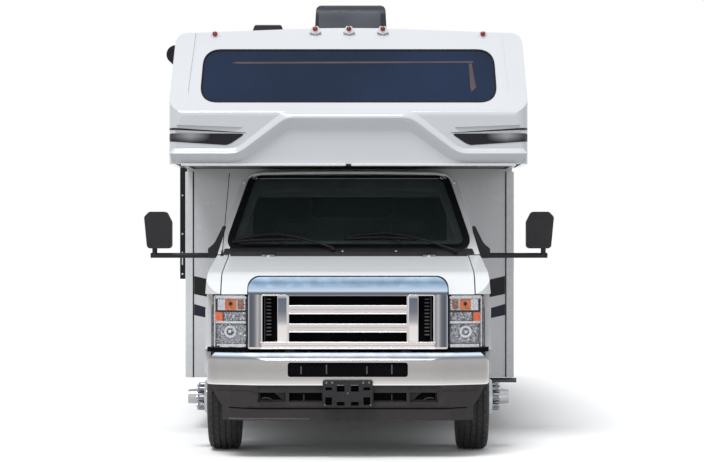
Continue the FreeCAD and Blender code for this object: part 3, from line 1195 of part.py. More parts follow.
def build_nose():
    """Grille surround with its bars, headlamps, front bumper, lower valance and plate bracket."""
    over = D.cut_over
    back = D.grille_y + D.grille_deep
    outline = [
        (-D.grille_half, D.grille_low_z, D.grille_foot_round),
        (D.grille_half, D.grille_low_z, D.grille_foot_round),
        (D.grille_half, D.grille_high_z, D.grille_round), (-D.grille_half, D.grille_high_z, D.grille_round)]
    plate = prism("grille_outline", "front", outline, D.grille_y, back)
    low = D.grille_low_z + D.grille_frame_low
    high = D.grille_high_z - D.grille_frame_top
    opening = (high - low - D.slat_high * 2) * (1 / 3)
    holes = []
    for i in range(3):
        bottom = low + (opening + D.slat_high) * i
        holes.append(box(f"grille_slot_{i}", (-D.slot_half, D.slot_half), (D.grille_y - over, back + over),
                         (bottom, bottom + opening)))
    side = box("grille_side_slot", (D.slot_half + D.slat_post, D.grille_half - D.grille_frame_side),
               (D.grille_y - over, back + over), (low, high))
    slope = prism("grille_slope", "side", [
        (D.grille_y - over, D.grille_high_z - D.grille_frame_top * 0.55),
        (D.grille_y, D.grille_high_z - D.grille_frame_top * 0.55),
        (D.grille_y + D.grille_deep * 0.75, D.grille_high_z + over),
        (D.grille_y - over, D.grille_high_z + over)], -D.grille_half - over, D.grille_half + over)
    hollow = box("grille_hollow", (-D.slot_half - D.slat_post, D.slot_half + D.slat_post),
                 (D.grille_y + D.slat_deep, back + over), (low, high))
    node("grille", cut("grille_all", plate, *holes, side, mirrored("grille_side_right", side), slope,
                       hollow))
    lamp_plan = prism("lamp_plan", "top", [
        (D.lamp_in_x, D.lamp_y + D.lamp_deep), (D.lamp_in_x, D.lamp_y),
        (D.lamp_out_x - D.lamp_round, D.lamp_y + D.lamp_deep * 0.12, D.lamp_deep * 0.5),
        (D.lamp_out_x + D.lamp_round, D.lamp_y + D.lamp_deep)],
        D.lamp_low_z, D.lamp_high_z)
    lamp_face = prism("lamp_face", "front", [
        (D.lamp_in_x, D.lamp_low_z, D.lamp_round), (D.lamp_out_x, D.lamp_low_z, D.lamp_round * 2),
        (D.lamp_out_x, D.lamp_high_z, D.lamp_round * 2), (D.lamp_in_x, D.lamp_high_z, D.lamp_round)],
        D.lamp_y - over, D.lamp_y + D.lamp_deep)
    lamp = common("lamp_left", lamp_plan, lamp_face)
    node("headlamps", group("lamps", lamp, mirrored("lamp_right", lamp)))

    def bumper_plan(name, inset, z):
        """The bumper's swept plan, drawn in by an inset."""
        nose = D.nose_y + inset
        wide = D.bumper_x - inset
        end = D.nose_y + D.bumper_wrap
        return prism(name, "top", [
            (-wide, end), (-wide, nose + D.bumper_back, D.bumper_back),
            (-D.hook_out_x, nose, D.bumper_wrap * 2),
            (D.hook_out_x, nose, D.bumper_wrap * 2),
            (wide, nose + D.bumper_back, D.bumper_back), (wide, end)], *z)

    def bumper_form(name, inset):
        """The plan with its top edge rolled back and its upper outer corners cut off."""
        low = D.bumper_low_z + inset
        high = D.bumper_high_z - inset
        nose = D.nose_y + inset
        end = D.nose_y + D.bumper_wrap
        wide = D.bumper_x - inset
        profile = prism(f"{name}_profile", "side", [
            (nose, low), (nose, high - D.bumper_roll, D.bumper_roll),
            (nose + D.bumper_roll, high), (end, high), (end, low)], -wide, wide)
        face = prism(f"{name}_face", "front", [
            (-wide, low, D.bumper_slot_round), (wide, low, D.bumper_slot_round),
            (wide, high - D.bumper_bevel), (wide - D.bumper_bevel, high),
            (-wide + D.bumper_bevel, high), (-wide, high - D.bumper_bevel)], nose, end)
        return common(name, bumper_plan(f"{name}_plan", inset, (low, high)), profile, face)

    shell = cut("bumper_shell", bumper_form("bumper_out", 0), bumper_form("bumper_in", D.bumper_thick))
    slot = [(x, z, D.bumper_slot_round) for x, z in (
        (-D.bumper_slot_half, D.bumper_slot_low), (D.bumper_slot_half, D.bumper_slot_low),
        (D.bumper_slot_half, D.bumper_slot_high), (-D.bumper_slot_half, D.bumper_slot_high))]
    slot_cut = prism("bumper_slot", "front", slot, D.nose_y - over, D.nose_y + D.bumper_thick + over)
    horn = box("bumper_horn", (D.rail_x - D.rail_wide * 0.5, D.rail_x + D.rail_wide * 0.5),
               (D.nose_y + D.bumper_thick, D.rail_front_y), (D.bumper_low_z + D.bumper_thick * 3,
                                                             D.bumper_high_z - D.bumper_thick * 3))
    clear = box("bumper_clear", (-D.hook_out_x * 1.35, D.hook_out_x * 1.35),
                (D.rail_front_y, D.nose_y + D.bumper_wrap + over),
                (D.bumper_low_z - over, D.bumper_high_z + over))
    node("front_bumper", cut("bumper_all", fuse("bumper_horned", shell, horn,
                             mirrored("bumper_horn_right", horn)), slot_cut, clear))

    apron = prism("valance_outline", "front", [
        (-D.valance_low_x, D.valance_low_z, D.bumper_slot_round),
        (D.valance_low_x, D.valance_low_z, D.bumper_slot_round),
        (D.valance_low_x, D.valance_step_z), (D.valance_x, D.valance_step_z + D.hook_high_z - D.hook_low_z),
        (D.bumper_x - D.bumper_thick * 2, D.bumper_low_z - D.seat_gap),
        (-D.bumper_x + D.bumper_thick * 2, D.bumper_low_z - D.seat_gap),
        (-D.valance_x, D.valance_step_z + D.hook_high_z - D.hook_low_z),
        (-D.valance_low_x, D.valance_step_z)], D.valance_y, D.valance_y + D.bumper_deep)
    room = box("valance_room", (-D.valance_low_x + D.bumper_thick, D.valance_low_x - D.bumper_thick),
               (D.valance_y + D.bumper_thick * 4, D.valance_y + D.bumper_deep + over),
               (D.valance_low_z + D.bumper_thick, D.bumper_low_z))
    corner = prism("valance_corner", "top", [
        (D.hook_out_x, D.valance_y - over), (D.bumper_x + over, D.valance_y - over),
        (D.bumper_x + over, D.valance_y + D.bumper_back)],
        D.valance_low_z - over, D.bumper_low_z + over)
    step = box("valance_step", (-D.bumper_x - over, D.bumper_x + over),
               (D.valance_y - over, D.valance_y + D.bumper_thick), (D.valance_low_z - over, D.valance_step_z))
    hook = box("valance_hook", (D.hook_in_x, D.hook_out_x),
               (D.valance_y - over, D.valance_y + D.bumper_thick * 3), (D.hook_low_z, D.hook_high_z))
    air = box("valance_air", (-D.hook_in_x + D.bumper_thick, D.hook_in_x - D.bumper_thick),
              (D.valance_y - over, D.valance_y + D.bumper_thick * 3), (D.hook_low_z, D.hook_high_z))
    node("front_valance", cut("valance_all", apron, room, corner, mirrored("valance_corner_right", corner),
                              step, hook, mirrored("valance_hook_right", hook), air))

    bracket = prism("bracket_outline", "front", [(x, z, D.plate_round) for x, z in (
        (-D.plate_half, D.plate_low_z), (D.plate_half, D.plate_low_z), (D.plate_half, D.plate_high_z),
        (-D.plate_half, D.plate_high_z))], D.plate_y - D.plate_thick, D.plate_y)
    feet = box("bracket_foot", (D.plate_hole_x * 0.6, D.plate_hole_x * 1.2),
               (D.plate_y, D.nose_y), (D.bumper_low_z + D.plate_hole_radius, D.plate_high_z - D.plate_round))
    middle = (D.plate_low_z + D.plate_high_z) * 0.5
    bolts = [rod(f"plate_hole_{i}", "Y", (D.plate_hole_x * x, middle + D.plate_hole_z * z),
                 D.plate_hole_radius, D.plate_y - D.plate_thick - over, D.plate_y + over)
             for i, (x, z) in enumerate(((-1, -1), (1, -1), (1, 1), (-1, 1)))]
    slots = []
    rows = {"inner_high": (0.24, 0.84, 0.22, 0.96), "outer_high": (1.2, 1.72, 0.38, 0.72),
            "inner_low": (0.24, 0.84, -1.34, -0.92), "outer_low": (1.2, 1.72, -1.28, -0.4)}
    for row, (near, far, foot, head) in rows.items():
        slot_box = box(f"plate_slot_{row}", (D.plate_hole_x * near, D.plate_hole_x * far),
                       (D.plate_y - D.plate_thick - over, D.plate_y + over),
                       (middle + D.plate_hole_z * foot, middle + D.plate_hole_z * head))
        slots += [slot_box, mirrored(f"plate_slot_right_{row}", slot_box)]
    node("plate_bracket", cut("bracket_all", fuse("bracket_feet", bracket, feet,
                              mirrored("bracket_foot_right", feet)), *bolts, *slots))


def build_mirrors():
    """Door mirrors: a tapered head on two arms from a triangular base on the door."""
    head = prism("mirror_head", "front", [
        (D.mirror_in_x, D.mirror_low_z, D.mirror_round),
        (D.mirror_out_x - D.mirror_taper * 0.6, D.mirror_low_z, D.mirror_round),
        (D.mirror_out_x, D.mirror_high_z - D.mirror_taper, D.mirror_round),
        (D.mirror_out_x - D.mirror_taper, D.mirror_high_z, D.mirror_round),
        (D.mirror_in_x + D.mirror_taper, D.mirror_high_z, D.mirror_round),
        (D.mirror_in_x, D.mirror_high_z - D.mirror_taper * 2, D.mirror_round)],
        D.mirror_y, D.mirror_y + D.mirror_deep)
    centre = D.mirror_y + D.mirror_deep * 0.5
    arms = []
    arms.append(rod("mirror_arm", "X", (centre, D.mirror_arm_z), D.mirror_arm_radius,
                    D.sail_out_x - D.sail_thick * 0.3, D.mirror_out_x - D.mirror_taper * 1.2))
    arms.append(rod("mirror_stem", "Z", (D.mirror_out_x - D.mirror_taper * 2, centre), D.mirror_arm_radius,
                    D.mirror_arm_z, D.mirror_low_z + D.mirror_arm_radius))
    sail = prism("mirror_sail", "front", [
        (D.cab_belt_x - D.sail_thick * 0.1, D.sail_low_z), (D.sail_out_x, D.sail_low_z, D.mirror_arm_radius),
        (D.sail_out_x, D.mirror_low_z, D.mirror_arm_radius),
        (D.sail_out_x - D.sail_thick * 0.8, D.sail_waist_z, D.sail_thick * 2),
        (D.cab_belt_x - D.sail_thick * 0.3, D.sail_high_z),
        (D.cab_belt_x - D.sail_thick * 0.6, D.sail_high_z)],
        D.mirror_y, D.mirror_y + D.mirror_deep)
    sail_left = cut("mirror_sail_cut", sail, cab_form("sail_seat", -D.seat_gap))
    left = fuse("mirror_left_all", head, *arms, sail_left)
    node("left_mirror", left)
    node("right_mirror", mirrored("mirror_right", left))


def build_roof_gear():
    """Air conditioner, roof vents, aerial, awning with its arms, and the marker lamps."""
    crown = D.roof_edge_z + D.roof_crown
    base = D.roof_edge_z
    top = crown + D.cooler_high
    side = prism("cooler_side", "side", [
        (D.cooler_front_y, base), (D.cooler_front_y + D.cooler_long, base),
        (D.cooler_front_y + D.cooler_long - D.cooler_round, top, D.cooler_round * 2),
        (D.cooler_front_y + D.cooler_round * 0.5, top, D.cooler_round * 2)],
        -D.cooler_half, D.cooler_half)
    front = prism("cooler_front", "front", [
        (-D.cooler_half, base), (D.cooler_half, base), (D.cooler_half - D.cooler_taper, top, D.cooler_round),
        (-D.cooler_half + D.cooler_taper, top, D.cooler_round)], D.cooler_front_y,
        D.cooler_front_y + D.cooler_long)
    seat = prism("roof_seat", "front", [
        (-D.wall_x, D.skirt_z), (D.wall_x, D.skirt_z), (D.wall_x, D.roof_edge_z, D.roof_corner),
        (0, crown, D.crown_round), (-D.wall_x, D.roof_edge_z, D.roof_corner)],
        D.side_front_y, D.house_rear_y)
    node("air_conditioner", cut("cooler_all", common("cooler_form", side, front), seat))
    vents = []
    for i, y in enumerate((D.vent_one_y, D.vent_two_y)):
        lid = prism(f"vent_lid_{i}", "side", [
            (y, base), (y + D.vent_half * 2, base),
            (y + D.vent_half * 2, crown + D.vent_high, D.mirror_round),
            (y, crown + D.vent_high, D.mirror_round)], -D.vent_half, D.vent_half)
        vents.append(cut(f"vent_{i}_cut", lid, seat))
    mast = rod("aerial_mast", "Z", (D.aerial_x, D.aerial_y), D.aerial_radius, base,
               crown + D.aerial_high * 0.8)
    dome = rod("aerial_dome", "Z", (D.aerial_x, D.aerial_y), D.aerial_radius * 2, base,
               crown + D.aerial_wing * 2)
    wing = prism("aerial_wings", "front", [
        (D.aerial_x - D.aerial_half * 0.85, crown + D.aerial_high * 0.72),
        (D.aerial_x + D.aerial_half * 0.85, crown + D.aerial_high * 0.72),
        (D.aerial_x + D.aerial_half * 0.7, crown + D.aerial_high, D.aerial_wing * 0.5),
        (D.aerial_x - D.aerial_half * 0.7, crown + D.aerial_high, D.aerial_wing * 0.5)],
        D.aerial_y - D.aerial_wing * 2, D.aerial_y + D.aerial_wing * 2)
    aerial = cut("aerial_cut", fuse("aerial_all", mast, dome, wing), seat)
    node("roof_fittings", group("fittings", *vents, aerial))

    roller = rod("awning_roller", "Y", (D.roller_x, D.roller_z), D.roller_radius, D.roller_front_y,
                 D.roller_rear_y)
    rail = box("awning_rail", (D.roller_x + D.roller_radius * 0.5, -D.wall_x),
               (D.roller_front_y + D.arm_wide, D.roller_rear_y - D.arm_wide),
               (D.roller_z - D.arm_thick * 0.5, D.roller_z + D.arm_thick * 0.4))
    arms = []
    for i, y in enumerate((D.roller_front_y, D.roller_rear_y - D.arm_wide)):
        arms.append(box(f"awning_arm_{i}", (-D.wall_x - D.arm_thick, -D.wall_x), (y, y + D.arm_wide),
                        (D.arm_low_z, D.roller_z)))
    node("awning", fuse("awning_all", roller, rail, *arms))

    marks = []
    foot = D.cap_top_y - D.marker_high * 2.6
    for i, x in enumerate((-D.marker_out_x, -D.marker_mid_x, 0, D.marker_mid_x, D.marker_out_x)):
        drop = D.roof_crown * (abs(as_size(x).value) / D.cap_x.value) ** 2
        low = crown - D.marker_high - drop
        marks.append(prism(f"marker_{i}", "side", [
            (foot, low), (D.cap_top_y + D.marker_high, low),
            (D.cap_top_y + D.marker_high, low + D.marker_high * 2),
            (foot + D.marker_high, low + D.marker_high * 2, D.marker_half * 0.5)],
            as_size(x) - D.marker_half * 1.6, as_size(x) + D.marker_half * 1.6))
    node("marker_lamps", cut("markers_cut", group("markers", *marks), cap_form("marker_seat", -D.seat_gap)))


def build_tail():
    """Rear bumper, receiver hitch with its cross pin hole, and the tail lamps."""
    over = D.cut_over
    beam = box("rear_bumper_beam", (-D.wall_x + D.wall_thick, D.wall_x - D.wall_thick),
               (D.tail_y - D.bumper_rear_deep, D.tail_y),
               (D.bumper_rear_z, D.bumper_rear_z + D.bumper_rear_high))
    bracket = box("bumper_bracket", (D.rail_x - D.rail_wide * 0.5, D.rail_x + D.rail_wide * 0.5),
                  (D.rail_rear_y, D.tail_y - D.bumper_rear_deep),
                  (D.rail_z, D.bumper_rear_z + D.bumper_rear_high))
    receiver_gap = box("receiver_gap", (-D.hitch_half - D.seat_gap, D.hitch_half + D.seat_gap),
                       (D.tail_y - D.bumper_rear_deep - over, D.tail_y + over),
                       (D.bumper_rear_z - over, D.hitch_z + D.hitch_half + D.seat_gap))
    node("rear_bumper", cut("rear_bumper_all", fuse("rear_bumper_arms", beam, bracket,
                            mirrored("bumper_bracket_right", bracket)), receiver_gap))
    tube = box("hitch_tube", (-D.hitch_half, D.hitch_half), (D.tail_y - D.hitch_long, D.tail_y),
               (D.hitch_z - D.hitch_half, D.hitch_z + D.hitch_half))
    bore = box("hitch_bore", (-D.hitch_bore_half, D.hitch_bore_half),
               (D.tail_y - D.hitch_long + D.hitch_half, D.tail_y + over),
               (D.hitch_z - D.hitch_bore_half, D.hitch_z + D.hitch_bore_half))
    cross = box("hitch_cross", (-D.rail_x - D.rail_wide * 0.5, D.rail_x + D.rail_wide * 0.5),
                (D.tail_y - D.hitch_long, D.tail_y - D.hitch_long + D.hitch_half),
                (D.hitch_z - D.hitch_half, D.hitch_z + D.hitch_half))
    plate = box("hitch_plate", (D.rail_x - D.rail_wide * 0.5, D.rail_x + D.rail_wide * 0.5),
                (D.tail_y - D.hitch_long, D.tail_y - D.hitch_long + D.hitch_half),
                (D.hitch_z, D.rail_z))
    hole = rod("hitch_pin_hole", "X", (D.tail_y - D.hitch_pin_in, D.hitch_z), D.hitch_pin_radius,
               -D.hitch_half - over, D.hitch_half + over)
    node("tow_hitch", cut("hitch_all", fuse("hitch_body", tube, cross, plate,
                          mirrored("hitch_plate_right", plate)), bore, hole))
    lamp = prism("tail_lamp_left", "front", [(x, z, D.marker_half) for x, z in (
        (D.tail_lamp_x - D.tail_lamp_half_x, D.tail_lamp_low_z),
        (D.tail_lamp_x + D.tail_lamp_half_x, D.tail_lamp_low_z),
        (D.tail_lamp_x + D.tail_lamp_half_x, D.tail_lamp_high_z),
        (D.tail_lamp_x - D.tail_lamp_half_x, D.tail_lamp_high_z))],
        D.house_rear_y, D.house_rear_y + D.tail_lamp_thick)
    node("tail_lamps", group("rear_lamps", lamp, mirrored("tail_lamp_right", lamp)))


build_cab()
build_cab_inside()
build_cap()
build_house_doors(*build_walls())
build_chassis()
build_wheels()
build_nose()
build_mirrors()
build_roof_gear()
build_tail()

doc.recompute()
broken = [thing.Name for thing in doc.Objects if "Invalid" in thing.State or "Error" in thing.State]
if broken:
    raise RuntimeError(f"not built: {broken}")
for label, piece in NODES.items():
    shape = piece.Shape
    if shape.isNull() or not shape.isValid() or not shape.Solids or shape.Volume <= 0:
        raise RuntimeError(f"{label}: no valid solid")
    for solid in shape.Solids:
        if solid.Volume < D.seat_gap.value ** 3:
            raise RuntimeError(f"{label}: a sliver of {solid.Volume}")

os.makedirs("parts", exist_ok=True)
for label, piece in NODES.items():
    piece.Shape.exportStep(os.path.join("parts", f"{label}.step"))
print(len(NODES), "nodes")
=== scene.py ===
"""A cab-over motorhome seen from the front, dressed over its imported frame.

Every length is in metres, in the frame's own axes: X to the driver's side, Y to the tail, Z up.
"""
import json
import math

import bmesh
import bpy
from mathutils import Matrix, Vector
from mathutils.bvhtree import BVHTree


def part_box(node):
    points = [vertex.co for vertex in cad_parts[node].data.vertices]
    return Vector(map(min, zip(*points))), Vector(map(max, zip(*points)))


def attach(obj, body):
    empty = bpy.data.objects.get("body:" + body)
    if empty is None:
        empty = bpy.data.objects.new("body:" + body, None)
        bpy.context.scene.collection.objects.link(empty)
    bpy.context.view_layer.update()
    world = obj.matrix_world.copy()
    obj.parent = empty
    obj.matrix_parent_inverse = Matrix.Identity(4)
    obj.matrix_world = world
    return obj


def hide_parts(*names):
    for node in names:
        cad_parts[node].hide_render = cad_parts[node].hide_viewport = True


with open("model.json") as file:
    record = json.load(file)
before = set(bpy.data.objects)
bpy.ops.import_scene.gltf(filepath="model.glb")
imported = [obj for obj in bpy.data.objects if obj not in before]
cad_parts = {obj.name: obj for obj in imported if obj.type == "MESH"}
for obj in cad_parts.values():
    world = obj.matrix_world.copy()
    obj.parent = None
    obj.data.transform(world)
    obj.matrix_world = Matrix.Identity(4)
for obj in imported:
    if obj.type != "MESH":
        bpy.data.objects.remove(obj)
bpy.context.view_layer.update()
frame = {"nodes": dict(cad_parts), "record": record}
NODES = frame["nodes"]
SIDES = (("left", 1), ("right", -1))

# Camera: level, a little right of the middle, far enough back for the photograph's flat view
CAMERA_X = 0.09
CAMERA_Y = -17.21
CAMERA_Z = 1.458
PHOTO_WIDE = 704
PHOTO_HIGH = 462
CENTRE_COLUMN = 361
HORIZON_ROW = 245
FOCAL_PX = 1984
SENSOR = 36.0

camera = bpy.data.objects.new("camera", bpy.data.cameras.new("camera"))
bpy.context.scene.collection.objects.link(camera)
camera.location = (CAMERA_X, CAMERA_Y, CAMERA_Z)
camera.rotation_euler = (math.radians(90), 0, 0)
camera.data.sensor_width = SENSOR
camera.data.lens = FOCAL_PX * SENSOR / PHOTO_WIDE
camera.data.shift_x = (PHOTO_WIDE / 2 - CENTRE_COLUMN) / PHOTO_WIDE
camera.data.shift_y = (HORIZON_ROW - PHOTO_HIGH / 2) / PHOTO_WIDE
camera.data.clip_end = 200
bpy.context.scene.camera = camera
bpy.context.scene.view_settings.view_transform = "Standard"


def photo_x(px, y):
    """The X of a column of the photograph on the plane at depth y."""
    return CAMERA_X + (px - CENTRE_COLUMN) * (y - CAMERA_Y) / FOCAL_PX


def photo_z(py, y):
    """The Z of a row of the photograph on the plane at depth y."""
    return CAMERA_Z - (py - HORIZON_ROW) * (y - CAMERA_Y) / FOCAL_PX


def pixels(points, y):
    """Columns and rows of the photograph as X and Z on the plane at depth y."""
    return [(photo_x(p[0], y), photo_z(p[1], y), *p[2:]) for p in points]


# Finishes: node-based materials, each kept under its name
FINISHES = {}


def material_tree(name):
    """The empty node tree of a new material."""
    made = bpy.data.materials.new(name)
    made.use_nodes = True
    made.node_tree.nodes.clear()
    FINISHES[name] = made
    return made.node_tree


def add(tree, kind, **values):
    """A new shader node. Each input gets a plain value or a socket. An underscore stands for a space."""
    node = tree.nodes.new("ShaderNode" + kind)
    for name, value in values.items():
        target = node.inputs[name.replace("_", " ")]
        if isinstance(value, bpy.types.NodeSocket):
            tree.links.new(value, target)
        else:
            target.default_value = value
    return node


def shaded(tree, **values):
    """Ends a material with a principled shader."""
    add(tree, "OutputMaterial", Surface=add(tree, "BsdfPrincipled", **values).outputs["BSDF"])


def noise(tree, scale, detail=3.0, stretch=(1, 1, 1)):
    """Noise over the object's own coordinates, stretched along its axes."""
    where = add(tree, "Mapping", Vector=add(tree, "TexCoord").outputs["Object"], Scale=stretch)
    return add(tree, "TexNoise", Vector=where.outputs["Vector"], Scale=scale, Detail=detail).outputs["Fac"]


def object_axes(tree):
    """The object's own coordinates, one socket for each axis."""
    return add(tree, "SeparateXYZ", Vector=add(tree, "TexCoord").outputs["Object"]).outputs


def spread(tree, value, low, high, start=0.3, stop=0.7):
    """Maps a value between start and stop onto a range."""
    return add(tree, "MapRange", Value=value, From_Min=start, From_Max=stop, To_Min=low,
               To_Max=high).outputs["Result"]


def shades(tree, value, stops):
    """A colour by a value, from stops in rising order."""
    ramp = add(tree, "ValToRGB", Fac=value)
    bands = ramp.color_ramp.elements
    for i, (place, colour) in enumerate(stops):
        band = bands[i] if i < 2 else bands.new(1.0)
        band.position = place
        band.color = (*colour, 1)
    return ramp.outputs["Color"]


def reckon(tree, operation, *terms):
    """A math node over sockets and plain numbers."""
    node = add(tree, "Math")
    node.operation = operation
    for socket, term in zip(node.inputs, terms):
        if isinstance(term, float):
            socket.default_value = term
        else:
            tree.links.new(term, socket)
    return node.outputs[0]


def grained(tree, height, strength, distance):
    """A fine relief in the surface."""
    return add(tree, "Bump", Height=height, Strength=strength, Distance=distance).outputs["Normal"]


def finish(name, colour, rough, metallic=0.0, vary=0.04, patch=2.0, grain=300.0, relief=0.0,
           depth=0.0005, coat=0.0, specular=0.5, stretch=(1, 1, 1), solid=1.0, uneven=0.22):
    """One finish: soft colour patches, uneven gloss and a fine grain in the surface."""
    tree = material_tree(name)
    dark = tuple(c * (1 - vary) for c in colour)
    light = tuple(min(1, c * (1 + vary)) for c in colour)
    bump = {"Normal": grained(tree, noise(tree, grain, 2, stretch), relief, depth)} if relief else {}
    shaded(tree, Base_Color=shades(tree, noise(tree, patch, 4, stretch), ((0.3, dark), (0.7, light))),
           Roughness=spread(tree, noise(tree, patch * 7, 4, stretch), rough * (1 - uneven),
                            rough * (1 + uneven)),
           Metallic=metallic, Coat_Weight=coat, Coat_Roughness=0.05, Specular_IOR_Level=specular, IOR=1.5,
           Transmission_Weight=0.0, Alpha=solid, **bump)


def metal(name, colour, rough, **more):
    """A finish of bare or plated metal."""
    finish(name, colour, rough, metallic=1.0, **more)


def sheen_painted_finish(name, dark, pale, middle, low, high):
    """A dark print with a painted sheen: pale round one distance from the middle and towards the top, dark
    elsewhere.
    """
    tree = material_tree(name)
    axes = object_axes(tree)
    off = reckon(tree, "ABSOLUTE", reckon(tree, "SUBTRACT", reckon(tree, "ABSOLUTE", axes["X"]), middle))
    sheen = reckon(tree, "MULTIPLY", spread(tree, off, 0, 1, 0.16, 0.0),
                   spread(tree, axes["Z"], 0, 1, low, high))
    shaded(tree, Base_Color=shades(tree, sheen, ((0.1, dark), (0.9, pale))),
           Roughness=spread(tree, noise(tree, 30), 0.35, 0.45), Specular_IOR_Level=0.2)


def reflection_banded_finish(name, along, stops, rough=0.12):
    """Plated metal with painted reflections: its tone changes in soft bands along one axis of the object."""
    tree = material_tree(name)
    low, high = stops[0][0], stops[-1][0]
    shares = [((place - low) / (high - low), colour) for place, colour in stops]
    reach = spread(tree, object_axes(tree)[along], 0, 1, low, high)
    shaded(tree, Base_Color=shades(tree, reach, shares), Metallic=1.0,
           Roughness=spread(tree, noise(tree, 12, 4), rough * 0.8, rough * 1.3),
           Normal=grained(tree, noise(tree, 40.0, 2), 0.012, 0.001))


# The record's materials
finish("cap_gelcoat", (0.63, 0.645, 0.672), 0.16, vary=0.02, patch=1.2, grain=60, relief=0.05, depth=0.002,
       coat=0.15, specular=0.4)
finish("wall_laminate", (0.72, 0.73, 0.75), 0.24, vary=0.025, patch=1.5, grain=25, relief=0.06, depth=0.003,
       coat=0.2)
finish("cab_paint", (0.72, 0.735, 0.75), 0.30, vary=0.02, patch=2, grain=90, relief=0.006, depth=0.0003,
       coat=0.12, specular=0.3, uneven=0.03)
finish("tinted_glass", (0.005, 0.015, 0.042), 0.05, vary=0.35, patch=1.2, specular=0.14)
finish("cab_glass", (0.030, 0.043, 0.044), 0.03, vary=0.2, patch=1.5, specular=0.12, solid=0.45)
finish("black_plastic", (0.013, 0.013, 0.016), 0.45, vary=0.18, patch=8, grain=900, relief=0.25, depth=0.0006,
       specular=0.3)
metal("chrome", (0.55, 0.535, 0.53), 0.10, vary=0.06, patch=3, grain=40, relief=0.03, depth=0.001)
metal("wheel_steel", (0.40, 0.405, 0.42), 0.20, vary=0.05, patch=12, relief=0.08)
finish("frame_steel", (0.022, 0.021, 0.021), 0.5, vary=0.3, patch=6, grain=120, relief=0.3, depth=0.001)
finish("tyre", (0.020, 0.019, 0.019), 0.72, vary=0.25, patch=14, grain=700, relief=0.3, depth=0.0008)
finish("engine_iron", (0.07, 0.07, 0.075), 0.6, metallic=0.4, vary=0.3, patch=9,
       grain=220, relief=0.5, depth=0.002)
finish("lamp_lens", (0.30, 0.33, 0.37), 0.04, vary=0.1, patch=20, solid=0.10)
finish("red_lens", (0.25, 0.010, 0.008), 0.12, vary=0.1, patch=30, grain=220, relief=0.5, depth=0.001)
finish("seat_cloth", (0.10, 0.095, 0.085), 0.9, vary=0.2, patch=20, grain=900, relief=0.6, depth=0.0012)
finish("floor_board", (0.10, 0.095, 0.09), 0.7, vary=0.2, patch=7, grain=200, relief=0.3, depth=0.001)
finish("exhaust_steel", (0.10, 0.105, 0.115), 0.45, metallic=0.8, vary=0.25, patch=9, grain=200, relief=0.3,
       depth=0.0008)
finish("awning_alloy", (0.006, 0.006, 0.008), 0.40, vary=0.15, patch=5, relief=0.1, depth=0.0006,
       stretch=(1, 1, 0.1), specular=0.2)

# Finishes of small pieces
finish("stripe_black", (0.006, 0.0055, 0.006), 0.35, vary=0.15, patch=6, specular=0.25)
finish("stripe_navy", (0.011, 0.014, 0.032), 0.35, vary=0.12, patch=6, specular=0.25)
finish("rubber_seal", (0.005, 0.005, 0.006), 0.6, vary=0.2, patch=10, grain=500, relief=0.2, specular=0.15)
finish("amber_lens", (0.72, 0.17, 0.03), 0.12, vary=0.25, patch=40, grain=120, relief=0.5, depth=0.002)
finish("orange_lens", (0.85, 0.13, 0.02), 0.12, vary=0.15, patch=40, grain=160, relief=0.5, depth=0.002)
finish("brown_lens", (0.30, 0.12, 0.07), 0.2, vary=0.5, patch=60)
metal("reflector", (0.52, 0.53, 0.56), 0.06, vary=0.08, patch=30, grain=35, relief=0.6, depth=0.012)
metal("mirror_face", (0.80, 0.82, 0.84), 0.02, vary=0.01, patch=3)
finish("trim_white", (0.74, 0.75, 0.76), 0.28, vary=0.03, patch=3, coat=0.2)
finish("shadow_gap", (0.003, 0.003, 0.004), 0.8, vary=0.2, patch=10, specular=0.05)
finish("cooler_shell", (0.018, 0.021, 0.034), 0.42, vary=0.12, patch=5, relief=0.25,
       depth=0.0008, specular=0.3)
finish("cooler_face", (0.070, 0.076, 0.092), 0.45, vary=0.15, patch=4, relief=0.2, depth=0.0008, specular=0.3)
finish("valance_plastic", (0.026, 0.023, 0.023), 0.5, vary=0.12, patch=6, grain=800, relief=0.3, depth=0.0006,
       specular=0.3)
finish("cabin_trim", (0.46, 0.54, 0.52), 0.7, vary=0.12, patch=6, grain=500,
       relief=0.3, depth=0.0006, specular=0.2)
# Lamp bowls: strong light and dark patches stand for painted reflections in the bowls' facets
metal("lamp_bowl_painted_reflection", (0.24, 0.245, 0.26), 0.16, vary=0.95, patch=75, grain=60, relief=0.9, depth=0.010)
# Thin strips on the grille bars: a painted highlight along their edges and painted shade between them
metal("painted_highlight_plate", (0.86, 0.87, 0.90), 0.08, vary=0.03, patch=9)
metal("painted_shade_plate", (0.30, 0.29, 0.29), 0.12, vary=0.08, patch=9)
metal("nut_plate", (0.19, 0.20, 0.22), 0.12, vary=0.10, patch=30)
finish("cord_black", (0.008, 0.008, 0.009), 0.5, vary=0.1, patch=9, specular=0.2)
finish("rib_grey", (0.055, 0.055, 0.06), 0.35, vary=0.1, patch=20)
finish("hook_grey", (0.030, 0.028, 0.028), 0.5, vary=0.2, patch=30, specular=0.2)
finish("lip_grey", (0.075, 0.07, 0.072), 0.4, vary=0.25, patch=12)
finish("bolt_grey", (0.16, 0.16, 0.17), 0.35, metallic=0.6, vary=0.2, patch=40)
finish("bolt_pale", (0.55, 0.55, 0.56), 0.3, metallic=0.7, vary=0.1, patch=40)
finish("bunk_edge", (0.085, 0.060, 0.068), 0.3, vary=0.25, patch=3, specular=0.2)
finish("rolled_cloth", (0.010, 0.010, 0.012), 0.8, vary=0.25, patch=5, grain=700, relief=0.5, depth=0.0008,
       stretch=(1, 0.05, 1), specular=0.2)
finish("aerial_black", (0.016, 0.016, 0.020), 0.4, vary=0.15, patch=9, specular=0.3)
finish("vent_lid", (0.55, 0.56, 0.57), 0.35, vary=0.05, patch=9)
finish("vent_grey", (0.05, 0.05, 0.052), 0.5, vary=0.15, patch=20)
